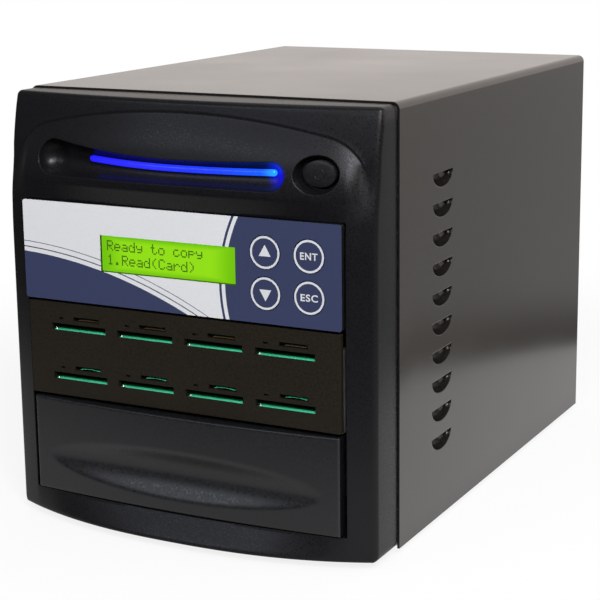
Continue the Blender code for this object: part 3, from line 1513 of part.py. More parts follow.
def louvres(name, wall, outer_x):
    """The pressed scoops of all louvres: lower quarters of ellipsoids, open at their straight top."""
    bm = bmesh.new()
    size = Matrix.Diagonal((
        LOUVRE_DEPTH + SHEET + wall, LOUVRE_HALF_LENGTH + wall, LOUVRE_HEIGHT + wall, 1.0,
    ))
    bmesh.ops.create_uvsphere(
        bm, u_segments=LOUVRE_SIDES, v_segments=LOUVRE_RINGS, radius=1.0, matrix=size @ TURN_X
    )
    flat = SLIVER if wall == 0.0 else 0.0
    trim(bm, (0.0, 0.0, flat), (0.0, 0.0, 1.0))
    trim(bm, (outer_x - HALF_WIDTH, 0.0, 0.0), (1.0, 0.0, 0.0))
    mesh = smooth(finished_mesh(name, bm))
    scoops = tool(name, mesh, (HALF_WIDTH, LOUVRE_Y, LOUVRE_TOP_Z))
    ladder = scoops.modifiers.new("ladder", "ARRAY")
    ladder.count = LOUVRE_COUNT
    ladder.use_relative_offset = False
    ladder.use_constant_offset = True
    ladder.constant_offset_displace = (0.0, 0.0, -LOUVRE_PITCH)
    both = scoops.modifiers.new("both_sides", "MIRROR")
    both.mirror_object = bpy.data.objects[FRAME_NAME]
    both.use_mirror_merge = False
    both.merge_threshold = SLIVER / 4
    return scoops


def trim(bm, point, normal):
    """Cuts a closed mesh at a plane and keeps the side behind it, capped."""
    found = bmesh.ops.bisect_plane(
        bm, geom=bm.verts[:] + bm.edges[:] + bm.faces[:], dist=SLIVER / 100,
        plane_co=point, plane_no=normal, clear_outer=True,
    )
    edges = [item for item in found["geom_cut"] if isinstance(item, bmesh.types.BMEdge)]
    bmesh.ops.contextual_create(bm, geom=edges)


def chassis():
    """Base pan, front frame, rear panel and bay brackets."""
    pan = [
        (-INNER_HALF, PAN_LIFT),
        (INNER_HALF, PAN_LIFT),
        (INNER_HALF, PAN_LIFT + PAN_FLANGE),
        (INNER_HALF - SHEET, PAN_LIFT + PAN_FLANGE),
        (INNER_HALF - SHEET, PAN_TOP_Z),
        (-INNER_HALF + SHEET, PAN_TOP_Z),
        (-INNER_HALF + SHEET, PAN_LIFT + PAN_FLANGE),
        (-INNER_HALF, PAN_LIFT + PAN_FLANGE),
    ]
    start = FRAME_BACK_Y + TOUCH_GAP
    length = REAR_INSIDE_Y - start
    mesh = flat_mesh("base_pan", [pan], length, TURN_Y)
    piece("base_pan", mesh, GALVANISED, (0.0, start + length / 2, 0.0))
    front_frame()
    rear_panel()
    bay_bracket("bay_bracket_left", -1.0)
    bay_bracket("bay_bracket_right", 1.0)


def front_frame():
    """The sheet frame that the bezel clips to, open for the bays."""
    height = INNER_TOP_Z - PAN_LIFT
    mid_z = PAN_LIFT + height / 2
    opening = rectangle(
        2 * (DEVICE_HALF + TOUCH_GAP),
        WINDOW_TOP_Z - WINDOW_BOTTOM_Z + FRAME_OPENING_MARGIN,
        0.0,
        (WINDOW_TOP_Z + WINDOW_BOTTOM_Z) / 2,
    )
    outlines = [round_rectangle(2 * INNER_HALF, height, BEND_RADIUS - SHEET, 0.0, mid_z), opening]
    mesh = flat_mesh("front_frame", outlines, SHEET, TURN_Y)
    piece("front_frame", mesh, GALVANISED, (0.0, FRAME_FRONT_Y + SHEET / 2, 0.0))


def rear_panel():
    """The rear sheet with the supply's window, the fan hole and the screw holes."""
    height = INNER_TOP_Z - PAN_LIFT
    mid_z = PAN_LIFT + height / 2
    outlines = [round_rectangle(2 * INNER_HALF, height, BEND_RADIUS - SHEET, 0.0, mid_z)]
    outlines.append(rectangle(SUPPLY_WINDOW_WIDTH, SUPPLY_WINDOW_HEIGHT, 0.0, SUPPLY_MID_Z))
    outlines.append(circle(CASE_FAN_SIZE * FAN_BORE_SHARE, CASE_FAN_X, CASE_FAN_Z))
    bore = SCREW_SHANK_RADIUS + SCREW_CLEARANCE
    for x, _, z in list(cover_screw_places().values()) + list(supply_screw_places().values()):
        outlines.append(circle(bore, x, z, BORE_SIDES))
    mesh = flat_mesh("rear_panel", outlines, SHEET, TURN_Y)
    piece("rear_panel", mesh, GALVANISED, (0.0, REAR_PANEL_FRONT_Y + SHEET / 2, 0.0))


def bay_bracket(name, side):
    """An angled bracket with slotted holes that holds the bay trays at one side."""
    inner = DEVICE_HALF + TOUCH_GAP
    bottom = PAN_TOP_Z + TOUCH_GAP
    top = WINDOW_TOP_Z + BRACKET_HEIGHT_MARGIN
    outline = [
        (inner, bottom),
        (inner + BRACKET_FOOT, bottom),
        (inner + BRACKET_FOOT, bottom + SHEET),
        (inner + SHEET, bottom + SHEET),
        (inner + SHEET, top),
        (inner, top),
    ]
    if side < 0:
        outline = [(-x, z) for x, z in reversed(outline)]
    start = FRAME_BACK_Y + TOUCH_GAP
    length = BRACKET_DEPTH
    mesh = flat_mesh(name, [outline], length, TURN_Y)
    bracket = piece(name, mesh, GALVANISED, (0.0, start + length / 2, 0.0))
    slots = bmesh.new()
    size = Matrix.Diagonal((4 * SHEET, BRACKET_SLOT_LENGTH, BRACKET_SLOT_HEIGHT, 1.0))
    for bay in range(BAY_COUNT):
        for share in BRACKET_SLOT_RISE_SHARES:
            for y in BRACKET_SLOT_Y:
                z = BAY_BOTTOM_Z + BAY_PITCH * (bay + share)
                centre = Matrix.Translation((side * (inner + SHEET / 2), y, z))
                bmesh.ops.create_cube(slots, size=1.0, matrix=centre @ size)
    cut(bracket, tool(name + "_slots", finished_mesh(name + "_slots", slots)))


# Feet and screws

def feet():
    """Four low rubber feet under the base pan."""
    top = PAN_LIFT - TOUCH_GAP
    height = FOOT_HEIGHT + top
    low = FOOT_RADIUS - FOOT_TAPER
    profile = [
        (0.0, height),
        (FOOT_RADIUS - FOOT_ROUND, height),
        (FOOT_RADIUS, height - FOOT_ROUND),
        (low, FOOT_ROUND),
        (low - FOOT_ROUND, 0.0),
        (0.0, 0.0),
    ]
    x = HALF_WIDTH - FOOT_INSET_X
    for end, y in (("front", FOOT_INSET_Y), ("rear", CASE_DEPTH - FOOT_INSET_Y)):
        for side, sign in (("left", -1.0), ("right", 1.0)):
            name = f"foot_{end}_{side}"
            foot = piece(name, profile_mesh(name, profile), RUBBER, (sign * x, y, -FOOT_HEIGHT))
            turned(foot, FOOT_STEPS)


def cover_screw_places():
    """Where the four screws hold the cover's lip, at the outer face of the lip."""
    x = HALF_WIDTH - COVER_SCREW_INSET
    places = {}
    for level, share in zip(("lower", "upper"), COVER_SCREW_HEIGHT_SHARES):
        for side, sign in (("left", -1.0), ("right", 1.0)):
            places[f"cover_screw_{level}_{side}"] = (sign * x, CASE_DEPTH, CASE_HEIGHT * share)
    return places


def supply_screw_places():
    """Where the four screws hold the power supply, at the outer face of the rear panel."""
    x = SUPPLY_WIDTH / 2 - SUPPLY_SCREW_INSET[0]
    half_height = SUPPLY_HEIGHT / 2 - SUPPLY_SCREW_INSET[1]
    places = {}
    for level, rise in (("lower", -half_height), ("upper", half_height)):
        for side, sign in (("left", -1.0), ("right", 1.0)):
            places[f"supply_screw_{level}_{side}"] = (sign * x, REAR_PANEL_BACK_Y, SUPPLY_MID_Z + rise)
    return places


def screw_bore(name, place):
    """A clearance bore for a screw's shank."""
    radius = SCREW_SHANK_RADIUS + SCREW_CLEARANCE
    length = 2 * (SCREW_SHANK_LENGTH + OVERRUN)
    return tool(name, rod_mesh(name, radius, length, TURN_Y, BORE_SIDES), place)


def screws():
    """Pan-head screws of the cover and the power supply."""
    places = {**cover_screw_places(), **supply_screw_places()}
    for name, (x, y, z) in places.items():
        head_y = y + TOUCH_GAP + SCREW_HEAD_HEIGHT / 2
        mesh = rod_mesh(name, SCREW_HEAD_RADIUS, SCREW_HEAD_HEIGHT, TURN_Y, SMALL_SIDES)
        screw = piece(name, mesh, STEEL, (x, head_y, z))
        shank_end = y + TOUCH_GAP + SLIVER
        shank = tool(
            name + "_shank",
            rod_mesh(name + "_shank", SCREW_SHANK_RADIUS, SCREW_SHANK_LENGTH, TURN_Y, BORE_SIDES),
            (x, shank_end - SCREW_SHANK_LENGTH / 2, z),
        )
        join(screw, shank)


# Power supply

def power_supply():
    """The supply's folded case, open at its vents, its fan and its mains fittings."""
    half = SUPPLY_WIDTH / 2
    bottom = SUPPLY_TOP_Z - SUPPLY_HEIGHT
    low = (-half, SUPPLY_FRONT_Y, bottom)
    high = (half, REAR_INSIDE_Y, SUPPLY_TOP_Z)
    case = block("supply_case", low, high, GALVANISED)
    inside = block_tool(
        "supply_inside", tuple(value + SHEET for value in low), tuple(value - SHEET for value in high)
    )
    cut(case, inside)
    hole = tool(
        "supply_fan_hole",
        rod_mesh("supply_fan_hole", SUPPLY_FAN_SIZE * FAN_BORE_SHARE, 2 * OVERRUN + SHEET, TURN_Y),
        (SUPPLY_FAN_X, REAR_INSIDE_Y - SHEET / 2, SUPPLY_MID_Z),
    )
    cut(case, hole)
    cut(case, fitting_hole("inlet_hole", inlet_z(), INLET_WIDTH, INLET_HEIGHT))
    cut(case, fitting_hole("switch_hole", mains_switch_z(), MAINS_SWITCH_WIDTH, MAINS_SWITCH_HEIGHT))
    cut(case, supply_vents())
    for name, place in supply_screw_places().items():
        cut(case, screw_bore(name + "_case_bore", place))
    fan_back = REAR_INSIDE_Y - SHEET - TOUCH_GAP
    build_fan("supply_fan", SUPPLY_FAN_SIZE, SUPPLY_FAN_DEPTH, (SUPPLY_FAN_X, fan_back, SUPPLY_MID_Z))
    fan_guard("supply_fan_guard", SUPPLY_FAN_SIZE, (SUPPLY_FAN_X, REAR_INSIDE_Y + TOUCH_GAP, SUPPLY_MID_Z))
    supply_board(case, bottom + SHEET)


def supply_vents():
    """Upright air slots in the supply's front wall."""
    slots = bmesh.new()
    width, height = SUPPLY_VENT_SIZE
    size = Matrix.Diagonal((width, 4 * SHEET, height, 1.0))
    for index in range(SUPPLY_VENT_COUNT):
        x = SUPPLY_VENT_PITCH * (index - (SUPPLY_VENT_COUNT - 1) / 2) - HARNESS_X / 2
        centre = Matrix.Translation((x, SUPPLY_FRONT_Y + SHEET / 2, SUPPLY_MID_Z))
        bmesh.ops.create_cube(slots, size=1.0, matrix=centre @ size)
    return tool("supply_vents", finished_mesh("supply_vents", slots))


def supply_board(case, floor_z):
    """The supply's board on four posts, with its transformer, capacitor and heatsinks."""
    width, depth, thickness = SUPPLY_BOARD_SIZE
    front = SUPPLY_FRONT_Y + SHEET + SUPPLY_BOARD_MARGIN
    posts = bmesh.new()
    height = SUPPLY_BOARD_RISE + SLIVER
    for x in (-width / 2 + CONTROLLER_POST_INSET, width / 2 - CONTROLLER_POST_INSET):
        for y in (front + CONTROLLER_POST_INSET, front + depth - CONTROLLER_POST_INSET):
            centre = Matrix.Translation((x, y, floor_z + height / 2 - SLIVER))
            bmesh.ops.create_cone(
                posts, cap_ends=True, segments=BORE_SIDES, radius1=CONTROLLER_POST_RADIUS,
                radius2=CONTROLLER_POST_RADIUS, depth=height, matrix=centre,
            )
    join(case, tool("supply_posts", finished_mesh("supply_posts", posts)))
    bottom = floor_z + SUPPLY_BOARD_RISE + TOUCH_GAP
    top = bottom + thickness
    board = block(
        "supply_board", (-width / 2, front, bottom), (width / 2, front + depth, top), GREEN_BOARD
    )
    for index, (wide, deep, high) in enumerate(SUPPLY_COMPONENT_SIZES):
        x_share, y_share = SUPPLY_COMPONENT_SHARES[index]
        x = width * x_share
        y = front + depth * y_share
        component = block_tool(
            f"supply_component_{index + 1}",
            (x - wide / 2, y - deep / 2, top - SLIVER),
            (x + wide / 2, y + deep / 2, top + high),
        )
        join(board, component)


def inlet_z():
    """Middle height of the mains inlet."""
    return SUPPLY_MID_Z + INLET_RISE


def mains_switch_z():
    """Middle height of the mains switch."""
    return SUPPLY_MID_Z + MAINS_SWITCH_RISE


def fitting_hole(name, z, width, height):
    """A hole in the supply's back wall for a snap-in fitting."""
    return block_tool(
        name,
        (INLET_X - width / 2 - TOUCH_GAP, REAR_INSIDE_Y - SHEET - OVERRUN, z - height / 2 - TOUCH_GAP),
        (INLET_X + width / 2 + TOUCH_GAP, REAR_INSIDE_Y + OVERRUN, z + height / 2 + TOUCH_GAP),
    )


def snap_in_body(name, z, width, height, depth):
    """A snap-in fitting: its body in the pocket and a flange outside."""
    body = block(
        name,
        (INLET_X - width / 2, REAR_INSIDE_Y - depth, z - height / 2),
        (INLET_X + width / 2, REAR_INSIDE_Y + TOUCH_GAP + SLIVER, z + height / 2),
        BLACK_NYLON,
    )
    flange = block_tool(
        name + "_flange",
        (INLET_X - width / 2 - INLET_FLANGE, REAR_INSIDE_Y + TOUCH_GAP, z - height / 2 - INLET_FLANGE),
        (INLET_X + width / 2 + INLET_FLANGE, fitting_back_y(), z + height / 2 + INLET_FLANGE),
    )
    join(body, flange)
    return body


def fitting_back_y():
    """Outer face of the mains fittings' flanges."""
    return REAR_INSIDE_Y + TOUCH_GAP + INLET_FLANGE_THICKNESS


def mains_inlet():
    """A three-pin appliance inlet with its well and pins."""
    z = inlet_z()
    body = snap_in_body("mains_inlet", z, INLET_WIDTH, INLET_HEIGHT, INLET_DEPTH)
    half_width = INLET_WELL_WIDTH / 2
    half_height = INLET_WELL_HEIGHT / 2
    chamfer = INLET_WELL_CHAMFER
    well = [
        (-half_width, -half_height),
        (half_width, -half_height),
        (half_width, half_height - chamfer),
        (half_width - chamfer, half_height),
        (-half_width + chamfer, half_height),
        (-half_width, half_height - chamfer),
    ]
    well_mesh = flat_mesh("inlet_well", [well], INLET_WELL_DEPTH + OVERRUN, TURN_Y)
    well_y = fitting_back_y() + (OVERRUN - INLET_WELL_DEPTH) / 2
    cut(body, tool("inlet_well", well_mesh, (INLET_X, well_y, z)))
    pins = bmesh.new()
    floor_y = fitting_back_y() - INLET_WELL_DEPTH
    wide, long, high = INLET_PIN_SIZE
    for x, rise in INLET_PIN_PLACES:
        centre = Matrix.Translation((INLET_X + x, floor_y - SLIVER + long / 2, z + rise))
        bmesh.ops.create_cube(pins, size=1.0, matrix=centre @ Matrix.Diagonal((wide, long, high, 1.0)))
    join(body, tool("inlet_pins", finished_mesh("inlet_pins", pins)))


def mains_switch():
    """The mains switch: a housing with a well and the rocker that tilts in it."""
    z = mains_switch_z()
    body = snap_in_body(
        "mains_switch_housing", z, MAINS_SWITCH_WIDTH, MAINS_SWITCH_HEIGHT, MAINS_SWITCH_DEPTH
    )
    well_wide = ROCKER_WIDTH + 2 * ROCKER_CLEARANCE
    well_high = ROCKER_HEIGHT + 2 * ROCKER_CLEARANCE
    axis_y = fitting_back_y() - ROCKER_AXIS_DEPTH
    reach = math.hypot(ROCKER_WIDTH / 2, ROCKER_THICKNESS)
    well = block_tool(
        "rocker_well",
        (INLET_X - well_wide / 2, axis_y - reach, z - well_high / 2),
        (INLET_X + well_wide / 2, fitting_back_y() + OVERRUN, z + well_high / 2),
    )
    cut(body, well)
    half = ROCKER_WIDTH / 2 - ROCKER_CLEARANCE
    rise = ROCKER_THICKNESS * math.tan(ROCKER_TILT)
    outline = [
        (-half, -ROCKER_THICKNESS / 2),
        (0.0, -ROCKER_THICKNESS),
        (half, -ROCKER_THICKNESS / 2),
        (half, ROCKER_THICKNESS / 2 + rise),
        (0.0, ROCKER_THICKNESS / 2 - rise),
        (-half, ROCKER_THICKNESS / 2 + rise),
    ]
    mesh = flat_mesh("mains_rocker", [outline], ROCKER_HEIGHT)
    rocker = piece("mains_rocker", mesh, BLACK_NYLON, (INLET_X, axis_y, z))
    rocker.rotation_euler = (0.0, 0.0, ROCKER_TILT)


# Fans

def build_fan(name, size, depth, back):
    """A frame with its bore, motor cup and struts, and the rotor on the fan's axis."""
    x, back_y, z = back
    bore = size * FAN_BORE_SHARE
    outlines = [round_rectangle(size, size, FAN_CORNER), circle(bore)]
    mesh = flat_mesh(name + "_frame", outlines, depth, TURN_Y)
    frame = piece(name + "_frame", mesh, BLACK_NYLON, (x, back_y - depth / 2, z))
    hub = size * FAN_HUB_SHARE
    front_y_value = back_y - depth
    struts = bmesh.new()
    arm = Matrix.Diagonal((bore + SHEET, FAN_STRUT_THICKNESS, FAN_STRUT_WIDTH, 1.0))
    for turn in range(FAN_STRUTS):
        spin = Matrix.Rotation(2 * math.pi * turn / FAN_STRUTS + FAN_STRUT_START, 4, "Y")
        offset = Matrix.Translation(((bore + SHEET) / 2, 0.0, 0.0))
        centre = Matrix.Translation((x, front_y_value + FAN_STRUT_THICKNESS / 2, z))
        bmesh.ops.create_cube(struts, size=1.0, matrix=centre @ spin @ offset @ arm)
    cup_depth = FAN_STRUT_THICKNESS + SLIVER
    cup = tool(
        name + "_motor_cup",
        rod_mesh(name + "_motor_cup", hub, cup_depth, TURN_Y),
        (x, front_y_value + cup_depth / 2, z),
    )
    arms = tool(name + "_struts", finished_mesh(name + "_struts", struts))
    join(cup, arms)
    join(frame, cup)
    hub_front = front_y_value + cup_depth + TOUCH_GAP
    hub_length = back_y - GUARD_WIRE - hub_front
    fan_rotor(name + "_rotor", bore - FAN_TIP_CLEARANCE, hub, hub_length, (x, hub_front + hub_length / 2, z))


def fan_rotor(name, tip, hub, length, place):
    """A rotor: its hub and seven swept blades, turning about Y."""
    rotor = piece(name, rod_mesh(name, hub, length, TURN_Y), BLACK_NYLON, place)
    bm = bmesh.new()
    root = hub * FAN_ROOT_SHARE
    for blade in range(FAN_BLADES):
        start = 2 * math.pi * blade / FAN_BLADES
        rows = []
        for i in range(BLADE_STEPS + 1):
            radius = blend(root, tip, i / BLADE_STEPS)
            row = []
            for j in range(BLADE_STEPS + 1):
                share = j / BLADE_STEPS - 0.5
                angle = start + FAN_BLADE_SWEEP * share
                y = length * FAN_BLADE_DEPTH_SHARE * share
                row.append(bm.verts.new((radius * math.cos(angle), y, radius * math.sin(angle))))
            rows.append(row)
        for i in range(BLADE_STEPS):
            for j in range(BLADE_STEPS):
                bm.faces.new((rows[i][j], rows[i][j + 1], rows[i + 1][j + 1], rows[i + 1][j]))
    mesh = bpy.data.meshes.new(name + "_blades")
    bm.to_mesh(mesh)
    bm.free()
    blades = tool(name + "_blades", mesh, place)
    shell = blades.modifiers.new("blade_thickness", "SOLIDIFY")
    shell.thickness = FAN_BLADE_THICKNESS
    shell.offset = 0.0
    join(rotor, blades)


def fan_guard(name, size, place):
    """A wire finger guard: rings on crossed arms, with an eye at each corner."""
    x, y, z = place
    middle_y = y + GUARD_WIRE
    arm_length = size * GUARD_ARM_SHARE
    hub = rod_mesh(name, size * GUARD_RING_SHARES[0] / 2, 2 * GUARD_WIRE, TURN_Y, SMALL_SIDES)
    guard = piece(name, hub, STEEL, (x, middle_y, z))
    arms = bmesh.new()
    for turn in range(4):
        spin = Matrix.Rotation(math.pi / 2 * (turn + 0.5), 4, "Y")
        offset = Matrix.Translation((arm_length / 2, 0.0, 0.0))
        size_arm = Matrix.Diagonal((arm_length, GUARD_ARM_THICKNESS, GUARD_ARM_THICKNESS, 1.0))
        centre = Matrix.Translation((x, middle_y, z))
        bmesh.ops.create_cube(arms, size=1.0, matrix=centre @ spin @ offset @ size_arm)
    join(guard, tool(name + "_arms", finished_mesh(name + "_arms", arms)))
    for index, share in enumerate(GUARD_RING_SHARES):
        ring_name = f"{name}_ring_{index + 1}"
        wire = circle(GUARD_WIRE, size * share, 0.0, WIRE_SIDES)
        ring = tool(ring_name, profile_mesh(ring_name, wire, closed=True), (x, middle_y, z))
        ring.rotation_euler = (math.radians(90.0), 0.0, 0.0)
        turned(ring, RING_STEPS)
        join(guard, ring)
    join(guard, guard_eyes(name + "_eyes", arm_length / math.sqrt(2.0), (x, middle_y, z)))


def guard_eyes(name, reach, place):
    """The screws through the eyes at the ends of a guard's arms."""
    x, y, z = place
    bm = bmesh.new()
    rise = (GUARD_EYE_HEIGHT - GUARD_ARM_THICKNESS) / 2
    for side in (-reach, reach):
        for level in (-reach, reach):
            centre = Matrix.Translation((x + side, y + rise, z + level))
            bmesh.ops.create_cone(
                bm, cap_ends=True, segments=SMALL_SIDES, radius1=GUARD_EYE_RADIUS,
                radius2=GUARD_EYE_RADIUS, depth=GUARD_EYE_HEIGHT, matrix=centre @ TURN_Y,
            )
    return tool(name, finished_mesh(name, bm))


# Cables

def data_ribbon():
    """The flat ribbon from the controller board round the tray's back to the card boards."""
    top_z = controller_board_z() + CONTROLLER_THICKNESS + CONNECTOR_SIZE[2] / 2
    start_y = CONTROLLER_FRONT_Y + CONTROLLER_DEPTH + TOUCH_GAP
    tray_end = lcd_plate_back_y() + TOUCH_GAP + DEVICE_DEPTH
    low_z = card_board_top_z(0) - CARD_BOARD_THICKNESS / 2
    low_y = card_plate_back_y() + TOUCH_GAP + CARD_BOARD_DEPTH + TOUCH_GAP
    far_y = tray_end + RIBBON_LOOP
    route = [(start_y, top_z), (tray_end, top_z)]
    bend = (top_z - low_z) / 2
    for step in range(1, RIBBON_STEPS):
        angle = math.pi * step / RIBBON_STEPS
        route.append((tray_end + (far_y - tray_end) * math.sin(angle), low_z + bend * (1.0 + math.cos(angle))))
    route += [(tray_end, low_z), (low_y, low_z)]
    bm = bmesh.new()
    rows = []
    for y, z in route:
        rows.append([bm.verts.new((side * RIBBON_WIDTH / 2, y, z)) for side in (-1.0, 1.0)])
    for near, far in zip(rows, rows[1:]):
        bm.faces.new((near[0], near[1], far[1], far[0]))
    mesh = bpy.data.meshes.new("data_ribbon")
    bm.to_mesh(mesh)
    bm.free()
    ribbon = piece("data_ribbon", mesh, GREY_CABLE)
    shell = ribbon.modifiers.new("ribbon_thickness", "SOLIDIFY")
    shell.thickness = RIBBON_THICKNESS
    shell.offset = 0.0


def power_harness():
    """The wire bundle from the power supply down to the controller board."""
    start_y = SUPPLY_FRONT_Y - TOUCH_GAP
    end_y = CONTROLLER_FRONT_Y + CONTROLLER_DEPTH - CONNECTOR_SIZE[1] / 2
    end_z = controller_board_z() + CONTROLLER_THICKNESS + CONNECTOR_SIZE[2] + TOUCH_GAP
    path = []
    for step in range(HARNESS_STEPS + 1):
        angle = math.pi / 2 * step / HARNESS_STEPS
        y = blend(start_y, end_y, math.sin(angle))
        z = blend(end_z, SUPPLY_MID_Z, math.cos(angle))
        path.append((HARNESS_X, y, z))
    piece("power_harness", tube_mesh("power_harness", path, HARNESS_RADIUS, resolution=2), GREY_CABLE)


# Whole object

PARTS_NAME = "sd_card_duplicator"
TOOLS_NAME = "sd_card_duplicator_tools"
FRAME_NAME = "case_frame"


def add_case_frame():
    """The empty that carries the case frame and sets the origin under the object's middle."""
    frame = bpy.data.objects.new(FRAME_NAME, None)
    bpy.data.collections[PARTS_NAME].objects.link(frame)
    front = min(bezel_place(0.0, row)[1] for row in bezel_rows())
    back = CASE_DEPTH + TOUCH_GAP + SCREW_HEAD_HEIGHT
    frame.location = (0.0, -(front + back) / 2, FOOT_HEIGHT)


def main():
    """Builds every sub-part."""
    clear_scene()
    add_collection(PARTS_NAME)
    add_collection(TOOLS_NAME)
    add_case_frame()
    top_cover()
    chassis()
    feet()
    front_bezel()
    light_parts()
    power_button()
    power_switch()
    lcd_faceplate()
    lcd_module()
    keypad()
    lcd_tray()
    controller()
    card_faceplate()
    card_tray()
    card_boards()
    card_sockets()
    blank_bay_cover()
    power_supply()
    mains_inlet()
    mains_switch()
    case_fan_back = REAR_INSIDE_Y
    build_fan("case_fan", CASE_FAN_SIZE, CASE_FAN_DEPTH, (CASE_FAN_X, case_fan_back, CASE_FAN_Z))
    fan_guard("case_fan_guard", CASE_FAN_SIZE, (CASE_FAN_X, REAR_PANEL_BACK_Y + TOUCH_GAP, CASE_FAN_Z))
    screws()
    data_ribbon()
    power_harness()
    bpy.context.view_layer.update()


main()
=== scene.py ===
"""Looks of the SD card duplicator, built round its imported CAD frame.

Sizes are millimetres in the case frame: X to the right seen from the front, Y back from the seam
between bezel and cover, Z up from the cover's lower edge. One matrix places each finished mesh.
"""

import json
import logging
import math
from dataclasses import dataclass
from enum import Enum
from typing import Callable, Iterable, Optional, Sequence, Union

import bmesh
import bpy
from mathutils import Matrix, Vector

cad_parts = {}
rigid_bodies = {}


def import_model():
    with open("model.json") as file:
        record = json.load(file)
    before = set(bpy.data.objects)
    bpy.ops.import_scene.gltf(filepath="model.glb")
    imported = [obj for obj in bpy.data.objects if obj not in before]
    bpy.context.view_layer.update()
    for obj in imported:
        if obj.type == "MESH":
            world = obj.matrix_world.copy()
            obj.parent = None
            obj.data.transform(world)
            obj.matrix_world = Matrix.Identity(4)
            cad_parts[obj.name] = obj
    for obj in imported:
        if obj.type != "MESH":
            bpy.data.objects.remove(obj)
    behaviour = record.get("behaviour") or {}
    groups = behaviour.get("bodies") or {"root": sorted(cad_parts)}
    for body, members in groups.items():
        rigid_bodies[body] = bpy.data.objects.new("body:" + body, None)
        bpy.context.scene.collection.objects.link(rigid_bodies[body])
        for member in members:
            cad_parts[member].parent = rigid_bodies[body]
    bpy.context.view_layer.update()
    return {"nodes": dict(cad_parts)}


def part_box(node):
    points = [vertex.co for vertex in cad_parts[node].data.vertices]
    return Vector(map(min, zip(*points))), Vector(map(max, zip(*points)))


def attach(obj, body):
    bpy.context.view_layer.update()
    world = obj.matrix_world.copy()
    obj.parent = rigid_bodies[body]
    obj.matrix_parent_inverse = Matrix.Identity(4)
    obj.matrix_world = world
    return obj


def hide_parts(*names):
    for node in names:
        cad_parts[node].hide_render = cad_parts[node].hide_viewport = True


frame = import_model()
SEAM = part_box("top_cover")[0]
PLACE = Matrix.Translation((0.0, SEAM.y, SEAM.z)) @ Matrix.Scale(0.001, 4)
SHARP_ANGLE = math.radians(32.0)
LOG = logging.getLogger("sd_card_duplicator")

Point = Sequence[float]
Pair = tuple[float, float]
Triple = tuple[float, float, float]
Quad = tuple[float, float, float, float]
Inputs = dict[Union[int, str], object]
Mesh = bmesh.types.BMesh
Socket = bpy.types.NodeSocket


class Body(Enum):
    """The CAD bodies that pieces ride on."""

    CASE = "case"
    BUTTON = "power_button"
    UP = "key_up"
    DOWN = "key_down"
    ENTER = "key_enter"
    ESCAPE = "key_escape"
    ROCKER = "mains_rocker"


class Operation(Enum):
    """How one solid is combined with others."""

    CUT = "DIFFERENCE"
    JOIN = "UNION"


# Colours and node helpers


def linear(code: str, gain: float = 1.0) -> Quad:
    """Turns an sRGB hex colour to linear.

    Args:
        code: Colour as "#rrggbb".
        gain: Factor on the linear colour.

    Returns:
        Linear red, green, blue and an alpha of 1.
    """
    values = [int(code[index:index + 2], 16) / 255 for index in (1, 3, 5)]
    lit = [v / 12.92 if v <= 0.04045 else ((v + 0.055) / 1.055) ** 2.4 for v in values]
    red, green, blue = [min(value * gain, 1.0) for value in lit]
    return (red, green, blue, 1.0)


class Shader:
    """The node tree of a material, or of the studio's world, grown one node at a time."""

    def __init__(self, name: str, world: Optional[bpy.types.World] = None) -> None:
        """Starts from a Principled BSDF and Object coordinates, or a world's Background and directions.

        Args:
            name: Name of the new material.
            world: The world whose tree is grown in its place.
        """
        self.material = world or bpy.data.materials.new(name)
        self.material.use_nodes = True
        self.tree = self.material.node_tree
        self.surface = self.tree.nodes["Background" if world else "Principled BSDF"]
        self.output = self.tree.nodes["World Output" if world else "Material Output"]
        self.place = self.add("TexCoord", out="Generated" if world else "Object")

    def add(
        self, kind: str, inputs: Optional[Inputs] = None, out: Union[int, str] = 0, **settings: object
    ) -> Socket:
        """Adds a node with its settings, values and links.

        Args:
            kind: The node's type name after "ShaderNode".
            inputs: Values or output sockets by input name or number.
            out: The output wanted.
            settings: Properties of the node itself.

        Returns:
            That output of the new node.
        """
        node = self.tree.nodes.new("ShaderNode" + kind)
        for key, value in settings.items():
            setattr(node, key, value)
        self.join(node, inputs or {})
        return node.outputs[out]

    def join(self, node: bpy.types.Node, inputs: Inputs) -> None:
        """Sets a node's inputs to values, or links them to sockets."""
        for key, value in inputs.items():
            if isinstance(value, bpy.types.NodeSocket):
                self.tree.links.new(value, node.inputs[key])
            else:
                node.inputs[key].default_value = value

    def grains(self, size_mm: float, detail: float = 2.0) -> Inputs:
        """Inputs of a noise whose grains are about the given size."""
        return {"Vector": self.place, "Scale": 500.0 / size_mm, "Detail": detail}

    def offset(self, point: Point) -> Socket:
        """The way to the shaded point from one given in case millimetres."""
        return self.add("VectorMath", {0: self.place, 1: PLACE @ Vector(point)}, operation="SUBTRACT")

    def finish(self, **inputs: object) -> bpy.types.Material:
        """Sets or links the Principled BSDF's inputs, named with _ for a space."""
        self.join(self.surface, {key.replace("_", " "): value for key, value in inputs.items()})
        return self.material


# A Map Range takes its value as input 0, the span it comes from as 1 and 2, and the span it goes to as
# 3 and 4. A Mix of colours takes its share as input 0 and its two colours as 6 and 7.
COLOURS = {"out": 2, "data_type": "RGBA"}
SMOOTH = {"interpolation_type": "SMOOTHSTEP"}
NOISE_SPAN = {1: 0.3, 2: 0.7}


